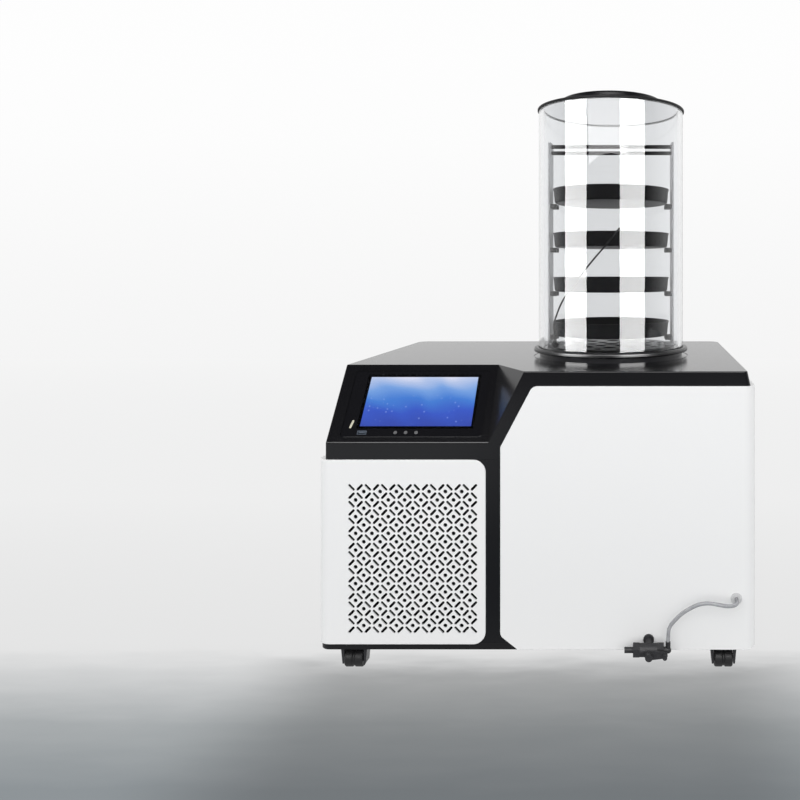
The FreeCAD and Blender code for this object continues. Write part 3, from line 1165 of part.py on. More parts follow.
def drain_hose():
    """Stiff clear-grey hose: cold trap stub, down inside, out through its grommet and over to the valve."""
    out, barb = FRONT - 34.5, DRAIN_X + BARB_OUT
    points = [V(AXIS_X, AXIS_Y, FOAM_Z0 - STUB_L - 0.2), V(AXIS_X, AXIS_Y, FOAM_Z0 - 65),
              V(AXIS_X + 50, AXIS_Y - 42, GROMMET_Z + 11), V(AXIS_X + 122, AXIS_Y - 88, GROMMET_Z + 3),
              V(GROMMET_X, AXIS_Y - 130, GROMMET_Z), V(GROMMET_X, out, GROMMET_Z),
              V(barb + 48, out + 3, GROMMET_Z + 8), V(barb + 19, out + 8, GROMMET_Z - 9.5),
              V(barb + 0.8, VALVE_Y - 0.4, GROMMET_Z - 31), V(barb, VALVE_Y, DRAIN_Z + BARB_H)]
    return bent_tube(points, HOSE_R, "drain hose")


# ---------------------------------------------------------------- mains inlet
def mains_inlet():
    """Moulded inlet with three blades below and the switch's pocket above."""
    x, z, half_w, half_h = INLET_X, INLET_Z, INLET_BODY_W / 2, INLET_BODY_H / 2
    wide, high = half_w + 11.5, half_h + 6
    flange = front_plate([(x - wide, z - high, 4), (x + wide, z - high, 4), (x + wide, z + high, 4),
                          (x - wide, z + high, 4)], REAR, REAR + 2.5)
    body = box(x - half_w, x + half_w, REAR - 26, REAR + 1, z - half_h, z + half_h)
    mouth = half_w - 2
    socket = front_plate([(x - mouth, z - 20, 1), (x + mouth, z - 20, 1), (x + mouth, z - 10, 0),
                          (x + 7, z - 5, 0), (x - 7, z - 5, 0), (x - mouth, z - 10, 0)], REAR - 16, REAR + 4)
    room = ROCKER_W / 2 + GAP
    pocket = box(x - room, x + room, REAR - 16, REAR + 4, ROCKER_Z - 9.5, ROCKER_Z + 9.5)
    pins = rod(ROCKER_PIN_R + RUNNING, V(x - half_w + 1, ROCKER_Y, ROCKER_Z),
               V(x + half_w - 1, ROCKER_Y, ROCKER_Z))
    blades = [box(x + dx - 1, x + dx + 1, REAR - 20, REAR - 3, z - 16 + dz, z - 12 + dz)
              for dx, dz in ((-6.5, 0), (6.5, 0), (0, 3.4))]
    return joined([joined([flange, body]).cut(socket).cut(pocket).cut(pins)] + blades)


def power_rocker():
    """Two-way rocker on a cross pin, shown tipped to off."""
    x, y, z = INLET_X, ROCKER_Y, ROCKER_Z
    half, pin_half = ROCKER_W / 2, INLET_BODY_W / 2 - 2.1
    paddle = side_plate([(y - 4, z - 5, 2), (y + 4.5, z - 8.2, 0.8), (y + 3.2, z, 0), (y + 4.5, z + 8.2, 0.8),
                         (y - 4, z + 5, 2)], x - half, x + half)
    pin = rod(ROCKER_PIN_R, V(x - pin_half, y, z), V(x + pin_half, y, z))
    rocker = joined([paddle, pin])
    rocker.rotate(V(x, y, z), V(1, 0, 0), ROCKER_TILT)
    return rocker


# ---------------------------------------------------------------- casters
def caster_spots():
    spots = {}
    for end, y in (("front", FRONT + CASTER_INSET), ("rear", REAR - CASTER_INSET)):
        for side, x in (("left", -CASTER_X), ("right", CASTER_X)):
            spots[f"{end}_{side}"] = V(x, y, 0)
    return spots


def caster_plate(spot):
    """Mounting plate with the race and the headed king pin."""
    x, y = spot.x, spot.y
    plate = plan_block(x - 20, x + 20, y - 18, y + 18, LIFT - 2, LIFT, 4, 4)
    race = rod(RACE_R, V(x, y, LIFT - 3.7), V(x, y, LIFT - 2))
    pin = rod(KINGPIN_R, V(x, y, LIFT - 9), V(x, y, LIFT - 2))
    head = rod(KINGPIN_R + 2, V(x, y, LIFT - 9), V(x, y, LIFT - 7 - GAP))
    return joined([plate, race, pin, head])


def caster_fork(spot):
    """Pressed fork with tapering legs and its riveted axle."""
    x, y, axle_y, foot = spot.x, spot.y, spot.y - CASTER_TRAIL, WHEEL_R - 6
    z1, z0, wide = LIFT - 4, LIFT - 7, FORK_HALF_OUT
    top = plan_block(x - wide, x + wide, axle_y - 8, y + 11, z0, z1, 6, 3)
    pieces = [top]
    for way in (-1, 1):
        inner, outer, tip = x + way * FORK_HALF_IN, x + way * wide, x + way * (wide - 2.6)
        leg = [(inner, z1, 0), (outer, z1, 0), (tip, foot, 1), (inner, foot, 1)]
        pieces.append(front_plate(leg, axle_y - 7.5, axle_y + 7.5))
    pieces.append(rod(AXLE_R, V(x - wide + 2.5, axle_y, WHEEL_R), V(x + wide - 2.5, axle_y, WHEEL_R)))
    return joined(pieces).cut(rod(KINGPIN_R + RUNNING, V(x, y, z0 - 1), V(x, y, z1 + 1)))


def caster_wheel(spot):
    """Wide wheel with a grooved tread."""
    w, r, bore = WHEEL_HALF_W, WHEEL_R, AXLE_R + RUNNING
    half = [(bore, w, 0), (5, w, 0), (5, w - 1, 0), (r - 3, w - 1, 0), (r - 1.5, w, 0.5), (r, w - 2, 1),
            (r, 2.5, 0.4), (r - 1.5, 1, 0.4)]
    profile = half + [(radius, -across, turn) for radius, across, turn in reversed(half)]
    wire = rounded_wire(profile, lambda u, v: V(v, 0, u))
    wheel = Part.Face(wire).revolve(V(0, 0, 0), V(1, 0, 0), 360)
    wheel.translate(V(spot.x, spot.y - CASTER_TRAIL, WHEEL_R))
    return wheel


# ---------------------------------------------------------------- everything
SINGLE = [base_pan, front_frame, left_panel, right_panel, rear_panel, panel_screws, top_cover, screen_bezel,
          touch_glass, lcd_panel, usb_port, control_board, base_flange, flange_gasket, chamber_cylinder,
          lid_seal, lid_plate, lid_cap, rack_base, rack_studs, rack_rods, probe_gland, sample_probe,
          trap_well, trap_coil, trap_insulation, vacuum_port, release_valve, release_knob, condenser,
          fan_shroud, fan_motor, fan_rotor, compressor, compressor_feet, refrigerant_lines, drain_valve,
          drain_lever, hose_grommet, drain_hose, mains_inlet, power_rocker]


def build():
    """Writes each sub-part; those with a function of their own are named after it."""
    os.makedirs("parts", exist_ok=True)
    for make in SINGLE:
        write(make.__name__, make())
    write("status_lights", [on_slope(light) for light in slope_lights()])
    write("probe_lead", bent_tube(lead_points(), LEAD_R, "probe lead"))
    for name, way in (("rack_side_left", -1), ("rack_side_right", 1)):
        write(name, rack_side(way))
    for level in range(TRAY_COUNT):
        write(f"tray_{level + 1}", tray(level))
    spots = caster_spots()
    write("caster_plates", [caster_plate(spot) for spot in spots.values()])
    for place, spot in spots.items():
        write(f"caster_fork_{place}", caster_fork(spot))
        write(f"caster_wheel_{place}", caster_wheel(spot))


build()
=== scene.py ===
"""Looks of a bench-top freeze dryer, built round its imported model: the studio, the sample lead and every
finish, from the moulded black cover to the clear drying chamber.

Metres. +X is the machine's right as one faces it, +Y is its back and +Z is up.
"""

import math

import bmesh
import bpy
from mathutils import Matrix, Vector


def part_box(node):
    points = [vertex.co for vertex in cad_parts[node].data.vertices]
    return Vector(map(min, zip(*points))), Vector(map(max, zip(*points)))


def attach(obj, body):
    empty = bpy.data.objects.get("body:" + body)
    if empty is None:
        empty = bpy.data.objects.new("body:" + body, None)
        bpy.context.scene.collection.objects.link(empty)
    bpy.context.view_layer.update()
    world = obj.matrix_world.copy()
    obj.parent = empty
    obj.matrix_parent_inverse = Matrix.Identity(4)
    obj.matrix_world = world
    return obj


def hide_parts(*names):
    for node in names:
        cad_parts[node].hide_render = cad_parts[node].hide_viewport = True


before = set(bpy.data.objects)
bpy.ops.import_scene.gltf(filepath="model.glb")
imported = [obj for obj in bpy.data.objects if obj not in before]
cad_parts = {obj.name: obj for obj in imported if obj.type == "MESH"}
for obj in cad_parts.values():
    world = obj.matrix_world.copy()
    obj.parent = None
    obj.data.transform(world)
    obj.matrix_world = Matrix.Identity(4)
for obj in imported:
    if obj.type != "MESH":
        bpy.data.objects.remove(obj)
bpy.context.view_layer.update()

MM = 0.001


# ---------------------------------------------------------------- places taken from the model
def middle_of(node):
    """The middle of a node's box."""
    low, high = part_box(node)
    return (low + high) / 2


def radius_of(node):
    """Half the width of a round node."""
    low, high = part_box(node)
    return (high.x - low.x) / 2


AXIS = middle_of("chamber_cylinder")  # the drying chamber's upright axis passes through it
DECK_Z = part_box("base_flange")[0].z
TRAY_R = radius_of("tray_1")
LIP = 7 * MM  # height of the flange's lip, over its neck
SEAL_WIDTH = 7 * MM  # of the lid's seal that is black, from its outer edge inwards
POD_SLOPE = math.radians(53)  # how far the display is tipped forward from facing straight up


# ---------------------------------------------------------------- camera
LENS, SENSOR = 33.75, 36.0  # mm
EYE = (0.1545, -1.2995, 0.580)
SHIFT = (-0.306, -0.1625)  # keeps upright lines upright with the machine low and right in the frame


def camera():
    """A level camera in front of the machine, a little right of the chamber, looking straight back."""
    data = bpy.data.cameras.new("studio_camera")
    data.lens, data.sensor_width = LENS, SENSOR
    data.shift_x, data.shift_y = SHIFT
    holder = bpy.data.objects.new("studio_camera", data)
    holder.location = EYE
    holder.rotation_euler = (math.pi / 2, 0, 0)
    bpy.context.scene.collection.objects.link(holder)
    bpy.context.scene.camera = holder


# ---------------------------------------------------------------- the sample lead
LEAD_R = 1.3 * MM
# degrees round the chamber's axis, millimetres past the trays' rims, millimetres above the deck
LEAD_ROUTE = [
    (205, 0.5, 29), (207, 3, 44), (213, 7.5, 58), (220, 8.8, 74), (226, 9, 92), (234, 9, 109),
    (243, 9, 127), (251, 9, 146), (259, 9, 164), (267, 9, 181), (274, 8.5, 198), (279, 4.5, 209.5),
    (281, -5.5, 212), (282, -15.5, 203), (283, -24.5, 192.5), (283.5, -36.5, 186.5), (284, -49.5, 186),
]


def around(angle, past_rim, above_deck):
    """A point beside the trays."""
    turn, radius = math.radians(angle), TRAY_R + past_rim * MM
    return Vector((AXIS.x + radius * math.cos(turn), AXIS.y + radius * math.sin(turn),
                   DECK_Z + above_deck * MM))


def sample_lead():
    """The thin lead from its gland up between trays and wall, and over a rim to the probe."""
    curve = bpy.data.curves.new("sample_lead", "CURVE")
    curve.dimensions = "3D"
    spline = curve.splines.new("NURBS")
    spline.points.add(len(LEAD_ROUTE) - 1)
    for point, place in zip(spline.points, LEAD_ROUTE):
        point.co = (*around(*place), 1)
        point.radius = LEAD_R
    spline.order_u = 3  # quadratic, so the lead bends where its route does and nowhere else
    spline.use_endpoint_u = True
    spline.resolution_u = 10
    curve.bevel_depth = 1.0  # multiplies each point's radius
    curve.bevel_resolution = 5
    curve.use_fill_caps = True
    lead = bpy.data.objects.new("sample_lead", curve)
    bpy.context.scene.collection.objects.link(lead)
    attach(lead, "cabinet")
    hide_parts("probe_lead")
    return lead


# ---------------------------------------------------------------- making materials
def linear(code):
    """An sRGB hex colour as the linear colour that shaders take."""
    shares = [int(code[i:i + 2], 16) / 255 for i in (1, 3, 5)]
    return tuple(s / 12.92 if s <= 0.04045 else ((s + 0.055) / 1.055) ** 2.4 for s in shares) + (1.0,)


def add(tree, kind, settings=None, inputs=None):
    """Adds a shader node with its settings; each input is a number or colour to set or a socket to link."""
    made = tree.nodes.new("ShaderNode" + kind)
    for name, value in (settings or {}).items():
        setattr(made, name, value)
    for name, value in (inputs or {}).items():
        if isinstance(value, bpy.types.NodeSocket):
            tree.links.new(value, made.inputs[name])
        else:
            made.inputs[name].default_value = value
    return made


def shader_of(material):
    """The one shader that every material here is made with."""
    return material.node_tree.nodes["Principled BSDF"]


def surface(name, colour, roughness, **sockets):
    """A named material whose shader is set from constants; a socket's spaces are written as _."""
    material = bpy.data.materials.new(name)
    material.use_nodes = True
    shader = shader_of(material)
    shader.inputs["Base Color"].default_value = linear(colour)
    shader.inputs["Roughness"].default_value = roughness
    for socket, value in sockets.items():
        shader.inputs[socket.replace("_", " ")].default_value = value
    return material


def speckle(material, size, stretch=(1, 1, 1), detail=2.0):
    """Noise with lumps of this many millimetres, fixed to the piece."""
    tree = material.node_tree
    place = add(tree, "TexCoord").outputs["Object"]
    place = add(tree, "Mapping", inputs={"Vector": place, "Scale": stretch}).outputs["Vector"]
    noise = add(tree, "TexNoise", inputs={"Vector": place, "Scale": 1 / (size * MM), "Detail": detail})
    return noise.outputs["Fac"]


NOISE_LOW, NOISE_HIGH = 0.3, 0.7  # nearly all of a noise lies between them


def drive(material, socket, pattern, low, high):
    """Varies one number of the shader between two values with a noise."""
    tree = material.node_tree
    spread = add(tree, "MapRange", inputs={
        "Value": pattern, "From Min": NOISE_LOW, "From Max": NOISE_HIGH, "To Min": low, "To Max": high})
    tree.links.new(spread.outputs["Result"], shader_of(material).inputs[socket])


def ramp(tree, pattern, stops):
    """Colours along a pattern; stops are (place, hex colour)."""
    made = add(tree, "ValToRGB", inputs={"Fac": pattern})
    elements = made.color_ramp.elements
    while len(elements) < len(stops):
        elements.new(0.5)
    for element, (place, colour) in zip(elements, stops):
        element.position = place
        element.color = linear(colour)
    return made.outputs["Color"]


def blend_colours(material, pattern, stops):
    """Colours a material along a pattern."""
    colour = ramp(material.node_tree, pattern, stops)
    material.node_tree.links.new(colour, shader_of(material).inputs["Base Color"])


def bump(material, pattern, depth, strength):
    """Shades the surface as if a pattern raised it; depth is in millimetres."""
    tree = material.node_tree
    made = add(tree, "Bump", inputs={"Height": pattern, "Distance": depth * MM, "Strength": strength})
    tree.links.new(made.outputs["Normal"], shader_of(material).inputs["Normal"])


# ---------------------------------------------------------------- plastics and rubber
def moulded_abs():
    """Moulded black ABS. Its fine eroded grain is almost polished flat: near black square on, and a clear
    grey mirror of the room when seen flat. The grain is drawn at 0.7 mm, coarser than the real 0.2 mm, so
    that it shows."""
    abs_black = surface("moulded_abs", "#111114", 0.17, Specular_IOR_Level=0.5)
    grain = speckle(abs_black, 0.7, detail=3)
    drive(abs_black, "Roughness", grain, 0.14, 0.21)
    bump(abs_black, grain, 0.006, 0.15)
    return abs_black


def gloss_polycarbonate():
    """Gloss black polycarbonate. A hard polish gives deep black and a sharp, thin reflection."""
    gloss = surface("gloss_polycarbonate", "#141417", 0.07, IOR=1.58)
    drive(gloss, "Roughness", speckle(gloss, 30), 0.05, 0.1)
    return gloss


def glass_filled_nylon():
    """Moulded grey-black nylon. Glass fibre leaves it dull and slightly mottled."""
    nylon = surface("glass_filled_nylon", "#2b2b2e", 0.55)
    fibre = speckle(nylon, 1.6, stretch=(1, 2.5, 1), detail=4)
    blend_colours(nylon, fibre, [(0.3, "#242427"), (0.7, "#37373a")])
    bump(nylon, fibre, 0.03, 0.4)
    return nylon


def caster_nylon():
    """The casters' moulded nylon hoods. Dark grey with a soft polish that catches round highlights."""
    nylon = surface("caster_nylon", "#303033", 0.22)
    drive(nylon, "Roughness", speckle(nylon, 3, detail=3), 0.17, 0.3)
    return nylon


def epdm_rubber():
    """Pressed EPDM rubber. Dull and close to black, with a faint bloom."""
    rubber = surface("epdm_rubber", "#151516", 0.62, Specular_IOR_Level=0.35)
    bloom = speckle(rubber, 6, detail=5)
    blend_colours(rubber, bloom, [(0.3, "#121213"), (0.75, "#202022")])
    drive(rubber, "Roughness", bloom, 0.5, 0.72)
    return rubber


def silicone_rubber():
    """Pale grey silicone, moulded. Soft and waxy, a little clouded."""
    rubber = surface("silicone_rubber", "#cfcfd0", 0.5)
    cloud = speckle(rubber, 3, detail=3)
    blend_colours(rubber, cloud, [(0.3, "#c6c6c8"), (0.7, "#d8d8d8")])
    return rubber


def tyre_rubber():
    """Hard tyre tread. Rolling leaves it slightly polished across its width."""
    tread = surface("tyre_rubber", "#19191a", 0.5)
    scuff = speckle(tread, 1.2, stretch=(6, 1, 1), detail=3)
    blend_colours(tread, scuff, [(0.3, "#141415"), (0.7, "#262628")])
    drive(tread, "Roughness", scuff, 0.35, 0.6)
    return tread


def pvc_jacket():
    """Extruded PVC cable jacket. Smooth, with the long faint waves of the extruder."""
    jacket = surface("pvc_jacket", "#232325", 0.38)
    wave = speckle(jacket, 4, detail=1)
    drive(jacket, "Roughness", wave, 0.32, 0.46)
    return jacket


def polyurethane_tube():
    """Clear grey polyurethane tube. Milky enough to read as a pale line with a bright edge."""
    tube = surface("polyurethane_tube", "#b9babd", 0.22, Transmission_Weight=0.35, IOR=1.5)
    cloud = speckle(tube, 8)
    blend_colours(tube, cloud, [(0.3, "#adaeb2"), (0.7, "#c6c7ca")])
    return tube


def polyurethane_foam():
    """Rigid polyurethane foam, cast in place. Open cells at its skin, cream going to tan."""
    foam = surface("polyurethane_foam", "#d8c795", 0.85)
    cells = add(foam.node_tree, "TexVoronoi", inputs={
        "Vector": add(foam.node_tree, "TexCoord").outputs["Object"], "Scale": 1 / (2.5 * MM)})
    blend_colours(foam, speckle(foam, 40, detail=4), [(0.3, "#dccda0"), (0.7, "#c4ad74")])
    bump(foam, cells.outputs["Distance"], 0.6, 0.6)
    return foam


# ---------------------------------------------------------------- clear pieces
def cast_acrylic():
    """Cast acrylic tube, polished. Clear, with a slight grey over its two walls, bright at its edges."""
    return surface("cast_acrylic", "#f4f5f6", 0.0, Transmission_Weight=1.0, IOR=1.49)


def toughened_glass():
    """Toughened float glass over the display. Clear, with a hard thin reflection."""
    return surface("toughened_glass", "#f7fafa", 0.0, Transmission_Weight=1.0, IOR=1.5,
                   Specular_IOR_Level=0.3)


def frosted_light_pipe():
    """Moulded light pipe. Milky polycarbonate, dimly lit from behind, faintly yellow."""
    pipe = surface("frosted_light_pipe", "#a9a695", 0.35, Emission_Color=linear("#d8d2b8"),
                   Emission_Strength=0.25)
    blend_colours(pipe, speckle(pipe, 2), [(0.3, "#9c9a8b"), (0.7, "#b8b5a4")])
    return pipe


def unlit_light_pipe():
    """The same milky polycarbonate over indicators that are off. Dull grey."""
    pipe = surface("unlit_light_pipe", "#58585a", 0.4)
    blend_colours(pipe, speckle(pipe, 1), [(0.3, "#505052"), (0.7, "#646466")])
    return pipe


WAVE_RISE = 0.08  # of the display's height
SPOT_SPACING = 7 * MM
SPOT_EDGE, SPOT_CORE = 0.24, 0.06  # shares of that spacing
SPOTLESS = 0.62  # share of the spots that are left out


def lit_display():
    """Lit liquid-crystal display. A pale sky falls to deep blue, with slow waves and a few soft spots of
    light; the colours are its own light, so the room hardly changes them."""
    lcd = surface("lit_display", "#05060a", 0.25, Emission_Strength=1.12)
    tree, shader = lcd.node_tree, shader_of(lcd)
    low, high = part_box("touch_glass")
    place = add(tree, "TexCoord").outputs["Object"]
    split = add(tree, "SeparateXYZ", inputs={"Vector": place}).outputs
    up = add(tree, "MapRange", inputs={"Value": split["Z"], "From Min": low.z, "From Max": high.z})
    wave = add(tree, "TexWave", {"bands_direction": "DIAGONAL", "wave_profile": "SIN"},
               {"Vector": place, "Scale": 9.0, "Distortion": 5.0, "Detail": 2.0, "Detail Scale": 1.2})
    swell = add(tree, "Math", {"operation": "MULTIPLY_ADD"},
                {0: wave.outputs["Fac"], 1: WAVE_RISE, 2: -WAVE_RISE / 2})
    height = add(tree, "Math", {"operation": "ADD"}, {0: up.outputs["Result"], 1: swell.outputs[0]})
    sky = ramp(tree, height.outputs[0], [(0.04, "#3c4fae"), (0.3, "#3f5cc6"), (0.52, "#4a7fd4"),
                                         (0.72, "#7ba4e2"), (0.88, "#bcc9ea"), (1.0, "#e9e6f6")])
    cells = add(tree, "TexVoronoi", inputs={"Vector": place, "Scale": 1 / SPOT_SPACING})
    spot = add(tree, "MapRange", {"interpolation_type": "SMOOTHSTEP"},
               {"Value": cells.outputs["Distance"], "From Min": SPOT_EDGE, "From Max": SPOT_CORE,
                "To Max": 0.5})
    some = add(tree, "SeparateXYZ", inputs={"Vector": cells.outputs["Color"]}).outputs["X"]
    few = add(tree, "Math", {"operation": "GREATER_THAN"}, {0: some, 1: SPOTLESS})
    low_down = add(tree, "MapRange",  # no spots in the pale sky
                   inputs={"Value": up.outputs["Result"], "From Min": 0.75, "From Max": 0.45})
    share = add(tree, "Math", {"operation": "MULTIPLY"}, {0: spot.outputs["Result"], 1: few.outputs[0]})
    share = add(tree, "Math", {"operation": "MULTIPLY"},
                {0: share.outputs[0], 1: low_down.outputs["Result"]})
    picture = add(tree, "Mix", {"data_type": "RGBA"}, {0: share.outputs[0], 6: sky, 7: linear("#9db8f4")})
    tree.links.new(picture.outputs[2], shader.inputs["Emission Color"])
    return lcd


# ---------------------------------------------------------------- paints
def enamelled_steel(name, colour, roughness):
    """Stoved enamel on pressed steel. Smooth and pale, with the long soft ripple of sprayed paint."""
    enamel = surface(name, colour, roughness, Specular_IOR_Level=0.4)
    ripple = speckle(enamel, 5, detail=2)
    drive(enamel, "Roughness", speckle(enamel, 60), roughness - 0.04, roughness + 0.05)
    bump(enamel, ripple, 0.02, 0.25)
    return enamel


def powder_coat():
    """Black polyester powder coat on steel. A satin skin with the small hills of orange peel."""
    coat = surface("powder_coat", "#18181a", 0.42, Specular_IOR_Level=0.35)
    peel = speckle(coat, 1.8, detail=1)
    drive(coat, "Roughness", peel, 0.36, 0.5)
    bump(coat, peel, 0.04, 0.5)
    return coat


def compressor_enamel():
    """Dipped black enamel on the compressor's shell. Glossy, with runs that pool lower down."""
    enamel = surface("compressor_enamel", "#0d0d0f", 0.18, Coat_Weight=0.4, Coat_Roughness=0.08)
    runs = speckle(enamel, 14, stretch=(1, 1, 0.25), detail=3)
    drive(enamel, "Roughness", runs, 0.12, 0.32)
    bump(enamel, runs, 0.2, 0.4)
    return enamel


def solder_mask():
    """Green solder mask on a circuit board, paler in lines where copper runs under it."""
    mask = surface("solder_mask", "#1c6b3c", 0.3)
    tree = mask.node_tree
    tracks = add(tree, "TexBrick", inputs={
        "Vector": add(tree, "TexCoord").outputs["Object"], "Scale": 60.0, "Mortar Size": 0.03,
        "Color1": linear("#1c6b3c"), "Color2": linear("#237a47"), "Mortar": linear("#2f9a5c")})
    tree.links.new(tracks.outputs["Color"], shader_of(mask).inputs["Base Color"])
    return mask


# ---------------------------------------------------------------- metals
def brushed_steel():
    """Brushed stainless steel. Long fine scratches draw its highlights out across the grain."""
    steel = surface("brushed_stainless", "#c9c9cc", 0.26, Metallic=1.0)
    lines = speckle(steel, 8, stretch=(1, 1, 40), detail=5)
    drive(steel, "Roughness", lines, 0.18, 0.36)
    blend_colours(steel, lines, [(0.3, "#bdbdc1"), (0.7, "#d6d6d8")])
    bump(steel, lines, 0.01, 0.4)
    return steel


def tinted_steel():
    """The port's stamped shell, bead-blasted and tinted blue-grey."""
    steel = surface("tinted_steel", "#56606e", 0.5, Metallic=0.2)
    blend_colours(steel, speckle(steel, 0.8, detail=3), [(0.3, "#4c5562"), (0.7, "#646e7c")])
    return steel


def turned_steel():
    """The trap's stainless steel, faced on a lathe. Rings about the axis 0.8 mm apart, coarser than the
    real cut so that they show, spread the light into a fan."""
    steel = surface("turned_stainless", "#d4d4d6", 0.2, Metallic=1.0)
    tree = steel.node_tree
    place = add(tree, "TexCoord").outputs["Object"]
    from_axis = add(tree, "VectorMath", {"operation": "SUBTRACT"}, {0: place, 1: AXIS})
    flat = add(tree, "VectorMath", {"operation": "MULTIPLY"}, {0: from_axis.outputs[0], 1: (1, 1, 0)})
    radius = add(tree, "VectorMath", {"operation": "LENGTH"}, {0: flat.outputs[0]}).outputs["Value"]
    rings = add(tree, "TexNoise", {"noise_dimensions": "1D"},
                {"W": radius, "Scale": 1 / (0.8 * MM), "Detail": 2.0}).outputs["Fac"]
    drive(steel, "Roughness", rings, 0.14, 0.3)
    bump(steel, rings, 0.006, 0.3)
    return steel


def black_anodised():
    """Turned aluminium, anodised black. Dense satin black with a metal's brighter glancing sheen."""
    metal = surface("black_anodised", "#131315", 0.28, Specular_IOR_Level=0.5)
    cut = speckle(metal, 1.0, detail=4)
    drive(metal, "Roughness", cut, 0.22, 0.36)
    blend_colours(metal, cut, [(0.3, "#111113"), (0.7, "#19191c")])
    return metal


def tray_anodised():
    """Spun aluminium tray, anodised dark grey. Dull, with faint lines from the spinning."""
    metal = surface("tray_anodised", "#161618", 0.4, Specular_IOR_Level=0.08)
    lines = speckle(metal, 3, stretch=(1, 1, 6), detail=4)
    drive(metal, "Roughness", lines, 0.34, 0.5)
    blend_colours(metal, lines, [(0.3, "#121214"), (0.7, "#1b1b1d")])
    bump(metal, lines, 0.02, 0.3)
    return metal


def polished_anodising_painted_reflection():
    """The flange's turned neck, anodised black over a polish. A dark mirror that draws the studio's
    lights as sharp upright marks; its base colour, paler than the flange's black, is painted reflection of
    the deck."""
    metal = surface("polished_anodising_painted_reflection", "#2b2b2e", 0.09, Specular_IOR_Level=0.5)
    drive(metal, "Roughness", speckle(metal, 5, detail=3), 0.07, 0.13)
    return metal


def blackened_steel():
    """Steel rod, chemically blackened and oiled. Nearly black, with hardly any shine."""
    steel = surface("blackened_steel", "#060607", 0.5, Specular_IOR_Level=0.1)
    drive(steel, "Roughness", speckle(steel, 2, detail=3), 0.44, 0.6)
    return steel


def satin_steel():
    """Bead-blasted stainless strip. An even pale grey with no mirror in it."""
    steel = surface("satin_steel", "#c4c5c7", 0.45, Metallic=0.5)
    grit = speckle(steel, 0.9, detail=2)
    drive(steel, "Roughness", grit, 0.38, 0.52)
    blend_colours(steel, grit, [(0.3, "#bcbdc0"), (0.7, "#cccdcf")])
    return steel


def polished_steel():
    """Stainless lid plate, buffed to a mirror with faint hairlines left by the mop."""
    steel = surface("polished_steel", "#f0f0f1", 0.05, Metallic=1.0)
    hairs = speckle(steel, 6, stretch=(12, 1, 1), detail=4)
    drive(steel, "Roughness", hairs, 0.03, 0.09)
    return steel


def zinc_plate():
    """Bright zinc on steel screws. Bluish silver with a faintly clouded passivation."""
    zinc = surface("zinc_plate", "#c3c6cc", 0.3, Metallic=1.0)
    cloud = speckle(zinc, 1.5, detail=3)
    blend_colours(zinc, cloud, [(0.3, "#b4b9c2"), (0.7, "#d0d0cf")])
    drive(zinc, "Roughness", cloud, 0.22, 0.4)
    return zinc


def nickel_plate():
    """Nickel on brass. Warm silver, polished but slightly clouded."""
    nickel = surface("nickel_plate", "#c8c3b6", 0.2, Metallic=1.0)
    cloud = speckle(nickel, 4, detail=3)
    drive(nickel, "Roughness", cloud, 0.14, 0.3)
    return nickel


def copper_tube():
    """Drawn copper refrigerant tube. Handling and brazing heat leave it patched from pink to brown."""
    copper = surface("copper_tube", "#b87552", 0.32, Metallic=1.0)
    stain = speckle(copper, 18, detail=5)
    blend_colours(copper, stain, [(0.3, "#c98560"), (0.6, "#a9643f"), (0.75, "#7d4a33")])
    drive(copper, "Roughness", stain, 0.24, 0.45)
    return copper


def fin_stock_painted_shade():
    """Aluminium fins, dull dark grey with faint paler streaks; the dark grey is painted shade, for the dim
    bay seen through the grille's slots.
    """
    fins = surface("fin_stock_painted_shade", "#1c1d1f", 0.5, Metallic=0.6)
    lines = speckle(fins, 4, stretch=(1, 1, 5), detail=3)
    blend_colours(fins, lines, [(0.3, "#17181a"), (0.7, "#26272a")])
    return fins


# ---------------------------------------------------------------- putting the finishes on
def put_on(material, *nodes):
    """Gives whole nodes one finish."""
    for name in nodes:
        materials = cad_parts[name].data.materials
        materials.clear()
        materials.append(material)


def touch_up(node, material, wanted):
    """Gives another finish to the faces of a node that wanted() says yes to."""
    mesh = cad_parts[node].data
    mesh.materials.append(material)
    for face in mesh.polygons:
        if wanted(face):
            face.material_index = len(mesh.materials) - 1


def finish_cabinet():
    """Panels, cover, casters and the back's fittings."""
    put_on(moulded_abs(), "top_cover", "front_frame", "lid_cap", "mains_inlet", "fan_rotor", "release_knob")
    put_on(enamelled_steel("white_enamel", "#f3f3f3", 0.34), "left_panel", "right_panel")
    put_on(enamelled_steel("grey_enamel", "#d3d4d6", 0.4), "rear_panel")
    put_on(powder_coat(), "base_pan", "caster_plates", "fan_shroud", "fan_motor")
    put_on(caster_nylon(), *[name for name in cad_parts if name.startswith("caster_fork")])
    put_on(tyre_rubber(), *[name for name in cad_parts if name.startswith("caster_wheel")])
    put_on(zinc_plate(), "panel_screws")
    put_on(gloss_polycarbonate(), "screen_bezel", "power_rocker")


def finish_display():
    """The lit face and what surrounds it; of the light pipes only the bar on the left glows."""
    put_on(toughened_glass(), "touch_glass")
    put_on(zinc_plate(), "lcd_panel")
    outward = Vector((0, -math.sin(POD_SLOPE), math.cos(POD_SLOPE)))
    touch_up("lcd_panel", lit_display(), lambda face: face.normal.dot(outward) > 0.9)
    put_on(frosted_light_pipe(), "status_lights")
    display_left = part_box("lcd_panel")[0].x
    touch_up("status_lights", unlit_light_pipe(), lambda face: face.center.x > display_left)
    put_on(tinted_steel(), "usb_port")
    put_on(solder_mask(), "control_board")


